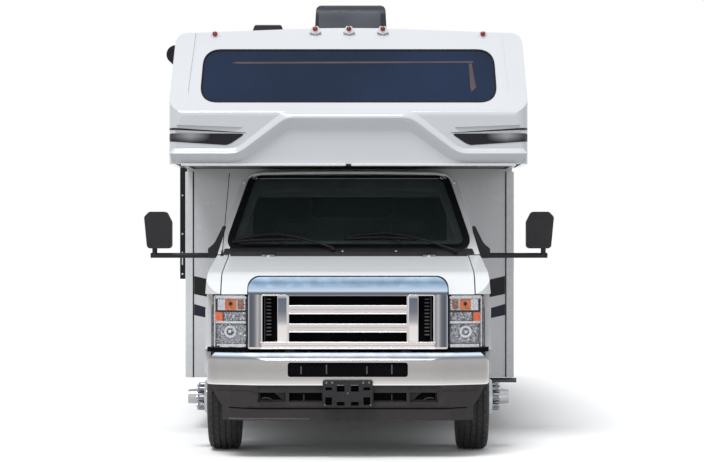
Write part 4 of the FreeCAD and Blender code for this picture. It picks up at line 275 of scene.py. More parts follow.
finish("dial_grey", (0.12, 0.12, 0.125), 0.4, vary=0.15, patch=20)
# Cap accents: black print with a painted highlight, pale near its top at one distance from the middle
sheen_painted_finish("stripe_painted_sheen", (0.009, 0.008, 0.012), (0.30, 0.31, 0.33), 1.13, 2.185, 2.235)
# Painted reflections on the bumper and the grille: pale and bluish bands where the sky would show in the
# plating, dark bands where shade would
reflection_banded_finish("bumper_painted_reflection", "Z", (
    (0.503, (0.80, 0.78, 0.77)), (0.514, (0.56, 0.54, 0.53)), (0.545, (0.37, 0.355, 0.345)),
    (0.61, (0.31, 0.30, 0.295)), (0.672, (0.34, 0.33, 0.325)), (0.690, (0.15, 0.165, 0.19)),
    (0.700, (0.42, 0.49, 0.58)), (0.710, (0.74, 0.81, 0.89)), (0.722, (0.50, 0.56, 0.64))), rough=0.24)
reflection_banded_finish("grille_painted_reflection", "Z", (
    (0.745, (0.60, 0.55, 0.53)), (0.80, (0.52, 0.47, 0.455)), (1.10, (0.50, 0.47, 0.465)),
    (1.118, (0.10, 0.105, 0.12)), (1.130, (0.10, 0.115, 0.14)), (1.142, (0.46, 0.55, 0.66)),
    (1.20, (0.17, 0.26, 0.38)), (1.238, (0.42, 0.54, 0.68))), rough=0.2)
POST_REFLECTION_TONES = ((0.588, (0.50, 0.48, 0.48)), (0.600, (0.19, 0.185, 0.20)), (0.620, (0.36, 0.35, 0.36)),
              (0.640, (0.12, 0.125, 0.14)), (0.668, (0.07, 0.08, 0.10)), (0.684, (0.25, 0.28, 0.32)))
reflection_banded_finish("grille_post_painted_reflection", "X", [(-x, tone) for x, tone in reversed(POST_REFLECTION_TONES)] + list(POST_REFLECTION_TONES))
reflection_banded_finish("grille_inner_post_painted_reflection", "Z", (
    (0.795, (0.66, 0.62, 0.60)), (0.90, (0.62, 0.58, 0.57)), (0.935, (0.30, 0.30, 0.32)),
    (1.00, (0.14, 0.15, 0.17)), (1.09, (0.10, 0.12, 0.16)), (1.112, (0.55, 0.55, 0.57))))

# The record's material for each node
FINISH_OF = {part["node"]: part["material_slot"] for part in frame["record"]["subparts"]}


def wear(thing, look):
    """Puts one finish on every slot of an object."""
    thing.data.materials.clear()
    thing.data.materials.append(FINISHES[look])


for label, thing in NODES.items():
    wear(thing, FINISH_OF[label])
for label, look in (("front_bumper", "bumper_painted_reflection"), ("grille", "grille_painted_reflection"),
                    ("front_valance", "valance_plastic"), ("air_conditioner", "cooler_shell")):
    wear(NODES[label], look)


# Stage: a white floor that keeps the shadow, a white world and soft lamps
def parted(tree, output, kind, plain, seen):
    """One shader where the ray comes from the camera, a reflection or a clear surface, else another."""
    path = add(tree, "LightPath").outputs
    direct = reckon(tree, "MAXIMUM", path["Is Camera Ray"], path["Is Glossy Ray"])
    mix = add(tree, "MixShader", Fac=reckon(tree, "MAXIMUM", direct, path["Is Transmission Ray"]))
    for k, values in ((1, plain), (2, seen)):
        tree.links.new(add(tree, kind, **values).outputs[0], mix.inputs[k])
    add(tree, output, Surface=mix.outputs[0])


FLOOR_REACH = 90
mesh = bpy.data.meshes.new("floor")
mesh.from_pydata([(x * FLOOR_REACH, y * FLOOR_REACH, 0) for x, y in ((-1, -1), (1, -1), (1, 1), (-1, 1))], [],
                 [(0, 1, 2, 3)])
floor = bpy.data.objects.new("floor", mesh)
bpy.context.scene.collection.objects.link(floor)
floor.location.z = -0.002
parted(material_tree("floor_white"), "OutputMaterial", "BsdfDiffuse", {"Color": (0.42, 0.42, 0.42, 1)},
       {"Color": (1, 1, 1, 1)})
wear(floor, "floor_white")

world = bpy.data.worlds.new("studio")
bpy.context.scene.world = world
world.use_nodes = True
world.node_tree.nodes.clear()
parted(world.node_tree, "OutputWorld", "Background", {"Color": (0.96, 0.98, 1.0, 1), "Strength": 0.68},
       {"Color": (1, 1, 1, 1), "Strength": 1.0})


def sun(name, energy, location, aim, width):
    """One soft sun turned towards a point."""
    data = bpy.data.lights.new(name, "SUN")
    data.energy = energy
    data.angle = math.radians(width)
    thing = bpy.data.objects.new(name, data)
    bpy.context.scene.collection.objects.link(thing)
    thing.location = location
    thing.rotation_euler = (Vector(aim) - Vector(location)).to_track_quat("-Z", "Y").to_euler()


sun("key", 2.0, (-2.8, -7.5, 15), (0, 0, 1), 24)
sun("low_front", 0.28, (-3, -14, 1.6), (0, 0, 1.5), 60)


# Mesh makers: each adds to a mesh in the making
AXES = {"X": 0, "Y": 1, "Z": 2}


def spot(axis, along, across):
    """A point from its place along an axis and its two other coordinates, in X, Y, Z order."""
    point = list(across)
    point.insert(AXES[axis], along)
    return Vector(point)


def bridge(bm, first, second):
    """Four-sided faces between two rings of points."""
    for i in range(len(first)):
        j = (i + 1) % len(first)
        bm.faces.new((first[i], first[j], second[j], second[i]))


def skin(bm, rings):
    """A closed solid over a row of rings."""
    for first, second in zip(rings, rings[1:]):
        bridge(bm, first, second)
    bm.faces.new(rings[0])
    bm.faces.new(reversed(rings[-1]))


def slab(bm, outline, axis, low, high):
    """An outline in the two other axes, drawn out along one axis."""
    skin(bm, [[bm.verts.new(spot(axis, along, p)) for p in outline] for along in (low, high)])


def block(bm, low, high):
    """A box between two corners."""
    corners = [(high[0], low[1]), (high[0], high[1]), (low[0], high[1]), (low[0], low[1])]
    slab(bm, corners, "Z", low[2], high[2])


def span(sign, near, far):
    """Two distances from the middle as X values in rising order, on one side."""
    return sorted((sign * near, sign * far))


def side_block(bm, sign, reach, low, high):
    """A box on one side, from its two distances from the middle and its Y and Z corners."""
    near, far = span(sign, *reach)
    block(bm, (near, *low), (far, *high))


def rectangle(x0, x1, z0, z1):
    """Four corners in turn."""
    return [(x0, z0), (x1, z0), (x1, z1), (x0, z1)]


def rounded(corners, radius, steps=5):
    """An outline with its corners rounded. A corner may carry its own radius as a third number."""
    points = []
    count = len(corners)
    for i, corner in enumerate(corners):
        here = Vector(corner[:2])
        before = Vector(corners[i - 1][:2]) - here
        after = Vector(corners[(i + 1) % count][:2]) - here
        size = corner[2] if len(corner) > 2 else radius
        half = before.angle(after) / 2
        reach = min(size / math.tan(half), before.length * 0.49, after.length * 0.49)
        start = here + before.normalized() * reach
        end = here + after.normalized() * reach
        for k in range(steps + 1):
            t = k / steps
            points.append(start.lerp(here, t).lerp(here.lerp(end, t), t))
    return points


def soft_box(box, radius, steps):
    """A rectangle with rounded corners."""
    return rounded(rectangle(*box), radius, steps)


def plate(bm, box, radius, steps, axis, low, high):
    """A flat plate with rounded corners."""
    slab(bm, soft_box(box, radius, steps), axis, low, high)


def frame_ring(bm, outer, inner, axis, low, high):
    """A flat frame between two outlines with the same number of points."""
    loops = [[bm.verts.new(spot(axis, along, p)) for p in outline]
             for outline, along in ((outer, low), (inner, low), (inner, high), (outer, high))]
    for k in range(4):
        bridge(bm, loops[k], loops[(k + 1) % 4])


def lathe(bm, profile, axis, centre, steps=48):
    """Turns (along, radius) points about an axis. A radius of zero closes the form."""
    rings = []
    for along, radius in profile:
        turns = [math.tau * i / steps for i in range(steps if radius else 1)]
        rings.append([bm.verts.new(spot(axis, along, (centre[0] + radius * math.cos(turn),
                                                      centre[1] + radius * math.sin(turn))))
                      for turn in turns])
    for first, second in zip(rings, rings[1:]):
        for i in range(steps):
            j = (i + 1) % steps
            corners = [first[i % len(first)], first[j % len(first)], second[j % len(second)],
                       second[i % len(second)]]
            bm.faces.new(list(dict.fromkeys(corners)))


def tube(bm, path, radius, sides=10):
    """A round bar along a path, with closed ends."""
    path = [Vector(p) for p in path]
    rings = []
    side = None
    for i, point in enumerate(path):
        ahead = (path[min(i + 1, len(path) - 1)] - path[max(i - 1, 0)]).normalized()
        if side is None:
            side = ahead.orthogonal().normalized()
        side = (side - ahead * side.dot(ahead)).normalized()
        up = ahead.cross(side)
        rings.append([bm.verts.new(point + side * radius * math.cos(math.tau * k / sides)
                                   + up * radius * math.sin(math.tau * k / sides)) for k in range(sides)])
    skin(bm, rings)


def piece(name, bm, look, body="coach", bevel=0.0, covers=()):
    """Makes a piece of a mesh in the making. It rides on a body and may stand for CAD nodes."""
    bmesh.ops.recalc_face_normals(bm, faces=bm.faces)
    mesh = bpy.data.meshes.new(name)
    bm.to_mesh(mesh)
    bm.free()
    for face in mesh.polygons:
        face.use_smooth = True
    mesh.set_sharp_from_angle(angle=math.radians(32))
    thing = bpy.data.objects.new(name, mesh)
    bpy.context.scene.collection.objects.link(thing)
    wear(thing, look)
    if bevel:
        edge = thing.modifiers.new("edges", "BEVEL")
        edge.width = bevel
        edge.segments = 2
        edge.limit_method = "ANGLE"
        edge.angle_limit = math.radians(40)
        edge.harden_normals = True
    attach(thing, body)
    if covers:
        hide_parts(*covers)
    return thing


# Skins and strips that are laid on the CAD nodes
TREES = {}
LOOKS = {"front": ("Y", 1, -5), "rear": ("Y", -1, 5), "left": ("X", -1, 3), "right": ("X", 1, -3)}


def surface(label):
    """A search tree of one CAD node."""
    if label not in TREES:
        mesh = NODES[label].data
        TREES[label] = BVHTree.FromPolygons([v.co for v in mesh.vertices],
                                            [tuple(p.vertices) for p in mesh.polygons])
    return TREES[label]


def landed(point, view, labels):
    """Where a straight look at a flat point first meets the named nodes."""
    axis, way, start = LOOKS[view]
    origin = spot(axis, start, point)
    direction = spot(axis, way, (0, 0))
    hits = [surface(label).ray_cast(origin, direction)[0] for label in labels]
    hits = [hit for hit in hits if hit is not None]
    return min(hits, key=lambda hit: (hit - origin).length) if hits else None


def decal(name, outline, view, labels, look, lift, body="coach", cell=0.012, tear=3.5, place=None):
    """A thin skin with a flat outline, laid on the nodes that it is looked at on, or where place puts it."""
    axis, way, start = LOOKS[view]
    bm = bmesh.new()
    bm.faces.new([bm.verts.new(spot(axis, start, p[:2])) for p in outline])
    for k, other in enumerate(a for a in "XYZ" if a != axis):
        values = [p[k] for p in outline]
        normal = Vector([1.0 if a == other else 0.0 for a in "XYZ"])
        for i in range(math.ceil(min(values) / cell), math.floor(max(values) / cell) + 1):
            bmesh.ops.bisect_plane(bm, geom=bm.verts[:] + bm.edges[:] + bm.faces[:],
                                   plane_co=normal * i * cell, plane_no=normal)
    bmesh.ops.triangulate(bm, faces=bm.faces[:])
    for vert in bm.verts:
        flat = [c for i, c in enumerate(vert.co) if i != AXES[axis]]
        hit = place(*flat) if place else landed(flat, view, labels)
        if hit is not None:
            vert.co = hit - spot(axis, way * lift, (0, 0))
    stray = [v for v in bm.verts if abs(v.co[AXES[axis]] - start) < 0.1]
    bmesh.ops.delete(bm, geom=stray, context="VERTS")
    torn = [f for f in bm.faces if max(e.calc_length() for e in f.edges) > cell * tear]
    bmesh.ops.delete(bm, geom=torn, context="FACES")
    return piece(name, bm, look, body)


def on_nodes(view, labels):
    """A placer that lays flat points on nodes, lifted towards the eye of that view."""
    axis, way, start = LOOKS[view]

    def put(flat, lift):
        box = [(a + b) / 2 for a, b in zip(*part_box(labels[0]))]
        middle = [c for i, c in enumerate(box) if i != AXES[axis]]
        for pull in range(12):
            nearer = [a + (b - a) * pull * 0.01 for a, b in zip(flat, middle)]
            hit = landed(nearer, view, labels)
            if hit is not None:
                break
        return hit - spot(axis, way * (lift + 0.001), (0, 0))
    return put


def loop_strip(name, outline, width, place, look="rubber_seal", body="coach", bulge=0.003):
    """A strip that runs round an outline on a surface, a little proud of it."""
    bm = bmesh.new()
    count = len(outline)
    middle = Vector((sum(p[0] for p in outline) / count, sum(p[1] for p in outline) / count))
    rows = []
    for shift, lift in ((-0.5, 0.0), (-0.42, bulge), (0.42, bulge), (0.5, 0.0)):
        row = []
        for i, point in enumerate(outline):
            ahead = Vector(outline[(i + 1) % count][:2]) - Vector(outline[i - 1][:2])
            normal = Vector((ahead.y, -ahead.x)).normalized()
            if normal.dot(Vector(point[:2]) - middle) < 0:
                normal = -normal
            row.append(bm.verts.new(place(Vector(point[:2]) + normal * width * shift, lift)))
        rows.append(row)
    for first, second in zip(rows, rows[1:]):
        bridge(bm, first, second)
    piece(name, bm, look, body)


def both_sides(points):
    """The same outline and its mirror image, with the name of each side."""
    flat = [tuple(p[:2]) for p in points]
    return (("left", flat), ("right", [(-x, z) for x, z in reversed(flat)]))


# Front cap: the raised edge of the middle panel, which runs out round both corners
CAP_FLAT = 1.169
CAP_BEND = 0.12
CAP_CREASE_Z = 2.408
RIDGE_STEP = 0.012
RIDGE_FOOT = -0.034
RIDGE_MIDDLE = ((-0.060, -0.006), (-0.046, 0.0005), (-0.024, 0.015), (-0.006, 0.0285), (0.004, 0.031),
                (0.014, 0.0275), (0.045, 0.004), (0.085, -0.0265), (0.085, RIDGE_FOOT), (-0.060, RIDGE_FOOT))
RIDGE_SIDE = ((-0.026, -0.005), (-0.014, 0.0005), (0.002, 0.010), (0.015, 0.0245), (0.022, 0.0285),
              (0.030, 0.0265), (0.056, 0.004), (0.088, -0.0265), (0.088, RIDGE_FOOT), (-0.026, RIDGE_FOOT))


def ridge_line(along):
    """Height of the ridge at a distance from the middle, averaged so that its bends are round."""
    total = 0
    for k in range(-4, 5):
        reach = min(1, max(0, (abs(along + k * RIDGE_STEP) - 0.453) / 0.343))
        total += 2.370 - 0.235 * reach
    return total / 9


def cap_point(along, z, proud):
    """A point over the cap's face. Past the flat part it runs round the corner."""
    back = (CAP_CREASE_Z - z) * 0.103 if z < CAP_CREASE_Z else (z - CAP_CREASE_Z) * 1.041
    turn = max(0, abs(along) - CAP_FLAT) / CAP_BEND
    y = -3.04 + max(back, CAP_BEND * (1 - math.cos(turn))) - proud * math.cos(turn)
    x = min(abs(along), CAP_FLAT) + (CAP_BEND + proud) * math.sin(turn)
    return Vector((math.copysign(x, along), y, z))


def cap_face(x, z):
    """The point of the cap's outer face at a width and a height, over its shallow recesses too."""
    corner = CAP_BEND * math.asin(min(1, max(0, abs(x) - CAP_FLAT) / CAP_BEND))
    return cap_point(math.copysign(min(abs(x), CAP_FLAT) + corner, x), z, 0)


bm = bmesh.new()
rings = []
for i in range(-110, 111):
    along = i * RIDGE_STEP
    rise = (ridge_line(along + RIDGE_STEP / 2) - ridge_line(along - RIDGE_STEP / 2)) / RIDGE_STEP
    across = Vector((rise, -1)).normalized()
    full = min(1, (1.325 - abs(along)) / 0.05)
    outward = min(1, max(0, (abs(along) - 0.40) / 0.40))
    ring = []
    for middle, end in zip(RIDGE_MIDDLE, RIDGE_SIDE):
        step, proud = (a + (b - a) * outward for a, b in zip(middle, end))
        ring.append(bm.verts.new(cap_point(along + step * across.x, ridge_line(along) + step * across.y,
                                           proud * full + RIDGE_FOOT * (1 - full))))
    rings.append(ring)
skin(bm, rings)
piece("cap_ridge", bm, "cap_gelcoat")


# Tyres: ribs, grooves and shoulder blocks, with bulged and ringed walls
FRONT_AXLE_Y = -2.96
REAR_AXLE_Y = 1.053
AXLE_Z = 0.372
TREAD_STEPS = 168
TREAD_RADIUS = 0.372
TREAD_HALF = 0.112
GROOVES = (-0.062, -0.021, 0.021, 0.062)


def tread_profile(half, top):
    """Places across the tyre with their radius and how deep a cut is there."""
    profile = [(-half * 0.78, 0.2125, 0), (-half * 0.82, 0.224, 0), (-half * 0.93, 0.245, 0),
               (-half, 0.285, 0), (-half * 0.985, 0.312, 0), (-half * 0.975, 0.314, 0),
               (-half * 0.97, 0.338, 0), (-half * 0.92, 0.356, 1), (-half * 0.80, 0.368, 1)]
    mirrored = [(-x, radius, deep) for x, radius, deep in reversed(profile)]
    for groove in GROOVES:
        profile += [(groove - 0.0065, top, 2), (groove - 0.005, top - 0.009, 0),
                    (groove + 0.005, top - 0.009, 0), (groove + 0.0065, top, 2)]
    return profile + mirrored


def build_tyre(name, centres, at_y, body, covers):
    """One or two tyres on an axle line, each a closed ring of rubber."""
    bm = bmesh.new()
    for centre in centres:
        rings = []
        for i in range(TREAD_STEPS):
            turn = math.tau * i / TREAD_STEPS
            ring = []
            for k, (across, radius, deep) in enumerate(tread_profile(TREAD_HALF, TREAD_RADIUS)):
                sipe = (i + (2 if k % 8 > 3 else 0)) % 4 == 0
                lug = (i + (3 if across > 0 else 0)) % 6 < 2
                reach = radius - (0.006 if deep == 2 and sipe else 0.008 if deep == 1 and lug else 0)
                ring.append(bm.verts.new((centre + across, at_y + reach * math.sin(turn),
                                          AXLE_Z + reach * math.cos(turn))))
            rings.append(ring)
        for i, ring in enumerate(rings):
            bridge(bm, ring, rings[(i + 1) % TREAD_STEPS])
    piece(name, bm, "tyre", body, covers=covers)


def build_lugs(name, face, sign, at_y, body):
    """Covers on the wheel nuts and a stepped cap over the hub."""
    bm = bmesh.new()
    for i in range(8):
        turn = math.tau * i / 8
        centre = (at_y + 0.0825 * math.sin(turn), AXLE_Z + 0.0825 * math.cos(turn))
        lathe(bm, [(face, 0), (face, 0.0175), (face + 0.016 * sign, 0.0172), (face + 0.046 * sign, 0.0158),
                   (face + 0.056 * sign, 0.011), (face + 0.060 * sign, 0)], "X", centre, 12)
    lathe(bm, [(face, 0.060), (face + 0.006 * sign, 0.0615), (face + 0.012 * sign, 0.060),
               (face + 0.014 * sign, 0.0585)], "X", (at_y, AXLE_Z), 40)
    piece(name, bm, "nut_plate", body)


for side, sign in SIDES:
    build_tyre(f"front_{side}_tread", (0.881 * sign,), FRONT_AXLE_Y, f"front_{side}_road_wheel",
               (f"front_{side}_tyre",))
    build_tyre(f"rear_{side}_treads", (0.846 * sign, 1.130 * sign), REAR_AXLE_Y,
               f"rear_{side}_twin_wheels", (f"rear_{side}_tyres",))
for side, sign in SIDES:
    build_lugs(f"front_{side}_lug_covers", 1.028 * sign, sign, FRONT_AXLE_Y, f"front_{side}_road_wheel")


# Front cap: window seal, printed accents with a painted highlight and the lip below
loop_strip("cap_window_seal", soft_box((-1.066, 1.066, 2.490, 2.903), 0.125, 10), 0.013,
           on_nodes("front", ("front_cap", "front_window")), bulge=0.004)
ACCENT_Y = -3.03
accent_low = rounded(pixels([(168.3, 133.2), (245.5, 133.6), (231, 143.2, 0.05), (226, 145), (168.3, 141.2)],
                            ACCENT_Y), 0.01, 3)
accent_line = pixels([(168.3, 127.4), (246, 132.6), (246, 133.0), (168.3, 129.6)], ACCENT_Y)
for name, points, look in (("cap_accent", accent_low, "stripe_painted_sheen"),
                           ("cap_line", accent_line, "stripe_black")):
    for side, outline in both_sides(points):
        decal(f"{name}_{side}", outline, "front", (), look, 0.003, tear=20, place=cap_face)

bm = bmesh.new()
for x in (-1.2, 0.02):
    block(bm, (x, -3.0, 2.026), (x + 1.18, -2.9, 2.042))
piece("cap_lower_flange", bm, "trim_white", bevel=0.003)

# Marker lamps: a white winged base with a red dome
base = bmesh.new()
dome = bmesh.new()
for x in (-1.0, -0.252, 0.0, 0.252, 1.0):
    z = 3.040 if abs(x) > 0.5 else 3.078
    slab(base, rounded([(x - 0.048, z - 0.030), (x, z - 0.048), (x + 0.048, z - 0.030),
                        (x + 0.020, z + 0.014), (x - 0.020, z + 0.014)], 0.01, 3), "Y", -2.402, -2.31)
    lathe(dome, [(-2.402, 0.019), (-2.410, 0.018), (-2.416, 0.012), (-2.419, 0)], "Y", (x, z - 0.006), 20)
piece("marker_bases", base, "trim_white", bevel=0.004)
piece("marker_domes", dome, "red_lens", covers=("marker_lamps",))


# Nose: dark backing sheets as painted shade behind the openings, side ribs, painted highlight and shade lines
# on the bars, and posts
GRILLE = ("grille",)
for side, outline in both_sides([(-0.681, 0.757), (-0.590, 0.757), (-0.590, 1.108), (-0.610, 1.118),
                                 (-0.681, 1.12)]):
    decal(f"grille_post_face_{side}", outline, "front", GRILLE, "grille_post_painted_reflection", 0.0012)

# Dark sheets behind the grille's slots, the bumper's gaps and slot, and the plate bracket's holes: painted
# shade where these openings lie in shadow
bm = bmesh.new()
block(bm, (-0.63, -3.515, 0.76), (0.63, -3.508, 1.135))
block(bm, (-0.69, -3.500, 0.690), (0.69, -3.494, 0.748))
block(bm, (-0.166, -3.706, 0.362), (0.166, -3.700, 0.501))
for side, sign in reversed(SIDES):
    ends = [(0.685, -3.562), (0.86, -3.562), (0.90, -3.560), (0.93, -3.547), (0.955, -3.529), (0.972, -3.507),
            (0.978, -3.39), (0.955, -3.39), (0.945, -3.49), (0.90, -3.53), (0.685, -3.54)]
    slab(bm, [(sign * x, y) for x, y in ends], "Z", 0.7235, 0.7505)
plate(bm, (-0.409, 0.409, 0.560, 0.658), 0.018, 3, "Y", -3.695, -3.692)
piece("opening_shade_backing", bm, "shadow_gap")

bm = bmesh.new()
for side, sign in reversed(SIDES):
    for i in range(11):
        low = 0.835 + i * 0.0245
        block(bm, (sign * 0.545 - 0.017, -3.545, low), (sign * 0.545 + 0.017, -3.517, low + 0.009))
    block(bm, (sign * 0.573 - 0.003, -3.548, 0.80), (sign * 0.573 + 0.003, -3.517, 1.10))
for i, x in enumerate((-0.318, -0.145, 0.13, 0.30)):
    block(bm, (x - 0.005, -3.699, 0.578), (x + 0.005, -3.694, 0.632 + 0.012 * (i % 2)))
piece("grille_ribs", bm, "rib_grey", bevel=0.002)

# Painted highlights along the bars' edges and painted shade lines between the bars
for name, look, bands in (
        ("grille_painted_highlight_lines", "painted_highlight_plate",
         ((0.745, 0.752), (0.787, 0.794), (0.8585, 0.8655), (0.9125, 0.919), (0.984, 0.991),
          (1.038, 1.0445))),
        ("grille_painted_shade_lines", "painted_shade_plate", ((0.768, 0.771), (0.889, 0.892), (1.0135, 1.0165)))):
    bm = bmesh.new()
    for low, high in bands:
        wide = 0.404 if low > 0.8 else 0.60
        block(bm, (-wide, -3.6115, low), (wide, -3.6085, high))
    piece(name, bm, look, bevel=0.001)
for side, outline in both_sides(rectangle(-0.484, -0.418, 0.800, 1.106)):
    decal(f"grille_inner_post_painted_reflection_{side}", outline, "front", GRILLE, "grille_inner_post_painted_reflection", 0.0015)

bm = bmesh.new()
for side, sign in reversed(SIDES):
    outer, inner = (rounded([(sign * (0.594 - inset), 0.785 + inset),
                             (sign * (0.412 + inset), 0.785 + inset),
                             (sign * (0.412 + inset), 1.118 - inset),
                             (sign * (0.594 - inset), 1.118 - inset)], radius, 3)
                    for inset, radius in ((0, 0.012), (0.008, 0.010)))
    frame_ring(bm, outer, inner, "Y", -3.617, -3.609)
piece("grille_side_beads", bm, "chrome", bevel=0.002)

# Lamps: bowls with painted reflections, amber and orange parts, a bulb and a bright frame under a clear cover
LAMP_Y = -3.53


def lamp_patch(name, box, look, sunk, radius=0.004, cell=0.008, wave=0.0, bunch=1.0):
    """A patch inside each lamp, sunk behind its cover and pressed into facets."""
    for side, outline in both_sides(rounded(pixels(rectangle(*box), LAMP_Y), radius, 3)):
        thing = decal(f"{name}_{side}", outline, "front", ("headlamps",), look, -sunk, cell=cell)
        for vert in thing.data.vertices:
            vert.co.y += wave * math.sin(vert.co.x * 260 * bunch) * math.sin(vert.co.z * 290 * bunch)


for name, box, look, *form in (
        # A dark back inside each lamp: painted shade behind the bowls and bars
        ("lamp_back_painted_shade", (213.8, 246.8, 295.2, 347.4), "black_plastic", 0.030),
        ("lamp_low_bowl", (215.2, 245.6, 324, 343.6), "lamp_bowl_painted_reflection", 0.020, 0.02, 0.006, 0.004),
        ("lamp_mid_bowl", (223.4, 245.6, 312.2, 320.6), "lamp_bowl_painted_reflection", 0.018, 0.004, 0.005, 0.004, 1.4),
        ("lamp_bright_bar", (216.5, 245.8, 343.9, 347.0), "reflector", 0.006),
        ("lamp_mid_bar", (214.4, 245.9, 321.0, 323.4), "reflector", 0.006),
        ("lamp_top_bar", (214.4, 246.4, 295.4, 298.6), "reflector", 0.006),
        ("lamp_edge_bar", (213.6, 215.0, 296.0, 347.0), "reflector", 0.004),
        ("lamp_turn_back", (217.4, 245.4, 299.0, 310.2), "reflector", 0.016, 0.004, 0.006, 0.003),
        ("lamp_turn_amber", (225.0, 236.2, 299.0, 310.0), "amber_lens", 0.008, 0.004, 0.006, 0.003),
        ("lamp_turn_brown", (237.6, 243.6, 299.6, 309.4), "brown_lens", 0.008, 0.002, 0.006, 0.003, 1.8),
        ("lamp_side_orange", (214.4, 222.6, 312.2, 321.0), "orange_lens", 0.006, 0.004, 0.006, 0.002)):
    lamp_patch(name, box, look, *form)
(low_x, low_z), (turn_x, turn_z) = pixels([(230.4, 331.6), (230.6, 303.6)], LAMP_Y)
for side, sign in reversed(SIDES):
    bm = bmesh.new()
    low_centre = (sign * abs(low_x), low_z)
    lathe(bm, [(-3.520, 0.047), (-3.540, 0.042), (-3.538, 0.026), (-3.512, 0.016)], "Y", low_centre, 24)
    lathe(bm, [(-3.518, 0.014), (-3.546, 0.014), (-3.553, 0.008), (-3.554, 0)], "Y", low_centre, 16)
    piece(f"lamp_bulb_{side}", bm, "reflector")
    bm = bmesh.new()
    lathe(bm, [(-3.535, 0.013), (-3.549, 0.012), (-3.552, 0)], "Y", (sign * abs(turn_x), turn_z), 16)
    piece(f"lamp_turn_bulb_{side}", bm, "black_plastic")
for side, sign in SIDES:
    bm = bmesh.new()
    side_block(bm, sign, (0.934, 0.940), (-3.44, 0.765), (-3.322, 1.098))
    piece(f"lamp_side_bowl_{side}", bm, "lamp_bowl_painted_reflection")
    bm = bmesh.new()
    plate(bm, (-3.425, -3.335, 1.005, 1.085), 0.01, 3, "X", *span(sign, 0.940, 0.943))
    piece(f"lamp_side_amber_{side}", bm, "amber_lens")

# Windshield: dark border, cowl strip with nozzles, wipers on their arms, whip aerial
GLASS = ("windshield", "cab_shell")


def screen_outline(half_low, low, half_high, high, low_bend, high_bend):
    """An outline on the windshield, narrower at its top."""
    return rounded([(-half_low, low, low_bend), (half_low, low, low_bend), (half_high, high, high_bend),
                    (-half_high, high, high_bend)], high_bend, 8)


def screen_y(z):
    """Depth of the windshield's outer face at a height."""
    return -2.727 + 0.898 * (z - 1.378)


def on_screen(px, py, lift):
    """A point of the photograph on the windshield, lifted off the glass."""
    y = -2.5
    for turn in range(5):
        y = screen_y(photo_z(py, y))
    return Vector((photo_x(px, y), y - lift * 0.74, photo_z(py, y) + lift * 0.67))


loop_strip("windshield_border", screen_outline(0.886, 1.440, 0.728, 1.978, 0.075, 0.09), 0.052,
           on_nodes("front", GLASS))
loop_strip("windshield_inner_border", screen_outline(0.872, 1.452, 0.722, 1.974, 0.075, 0.09), 0.024,
           on_nodes("front", GLASS))
bm = bmesh.new()
header = [(-0.795, -2.262, 1.925), (-0.775, -2.232, 1.960), (-0.735, -2.205, 1.987), (-0.66, -2.190, 1.999),
          (-0.35, -2.182, 2.004)]
tube(bm, header + [(0, -2.180, 2.006)] + [(-x, y, z) for x, y, z in reversed(header)], 0.012, 12)
piece("screen_header", bm, "cab_paint")
bm = bmesh.new()
for side, sign in reversed(SIDES):
    plate(bm, (*span(sign, 0.10, 0.66), 1.865, 1.935), 0.02, 4, "Y", -2.165, -2.150)
piece("sun_visors", bm, "cabin_trim", bevel=0.003)
decal("windshield_foot_band", rectangle(-0.87, 0.87, 1.420, 1.452), "front", GLASS, "rubber_seal", 0.002)
decal("cowl_strip", rounded([(-0.925, 1.376), (0.925, 1.376), (0.905, 1.432), (-0.905, 1.432)], 0.01, 3),
      "front", ("cab_shell", "windshield"), "black_plastic", 0.005)

bm = bmesh.new()
for x in (-0.045, 0.345):
    lathe(bm, [(-2.704, 0.012), (-2.722, 0.010), (-2.727, 0.005), (-2.728, 0)], "Y", (x, 1.412), 12)
piece("washer_nozzles", bm, "wheel_steel")

bm = bmesh.new()
for blade, bridge_bar, arm, link in (
        (((233, 243), (251, 241.6), (268, 240.8), (286, 240.6), (302, 241.6)),
         ((236, 242), (250, 239), (263, 237.2), (275, 236.6), (287, 238.4), (299, 240.8)),
         ((275, 237), (293, 239.2), (309, 243.5), (333, 250.8)),
         ((268, 240), (279, 243.4), (288, 247.6))),
        (((345, 239.6), (362, 238.8), (381, 238.4), (399, 239), (416, 240.6)),
         ((348, 239), (361, 236.8), (374, 235.8), (386, 235.6), (400, 237.4), (413, 239.8)),
         ((386, 236), (408, 238.8), (428, 244.5), (455, 253.2)),
         ((381, 238.6), (394, 242.4), (406, 247.4)))):
    for points, lift, radius, sides in ((blade, 0.012, 0.0105, 8), (bridge_bar, 0.026, 0.0095, 8),
                                        (arm, 0.036, 0.0075, 8), (link, 0.016, 0.003, 6)):
        tube(bm, [on_screen(px, py, lift) for px, py in points], radius, sides)
    for px, py in blade[::2]:
        tube(bm, [on_screen(px, py, 0.006), on_screen(px, py - 1.2, 0.028)], 0.006, 6)
    foot = on_screen(*arm[-1], 0.02)
    lathe(bm, [(foot.y + 0.03, 0.017), (foot.y - 0.012, 0.016), (foot.y - 0.018, 0.010), (foot.y - 0.018, 0)],
          "Y", (foot.x, foot.z), 16)
piece("wipers", bm, "cord_black")

bm = bmesh.new()
foot = (photo_x(222, -2.72), -2.72, 1.372)
tip = (photo_x(229.5, -2.62), -2.62, photo_z(173, -2.62))
tube(bm, [foot, Vector(foot).lerp(Vector(tip), 0.5), tip], 0.0028, 8)
lathe(bm, [(1.360, 0.020), (1.386, 0.017), (1.394, 0.007), (1.420, 0.005), (1.420, 0)], "Z", foot[:2], 16)
piece("whip_aerial", bm, "cord_black")


# Cabin: light trim inside the pillars and the roof edge, grab handles
def behind_screen(flat, lift):
    """Places trim behind the glass, in line with it."""
    return Vector((flat[0], screen_y(flat[1]) + 0.075 - lift, flat[1]))


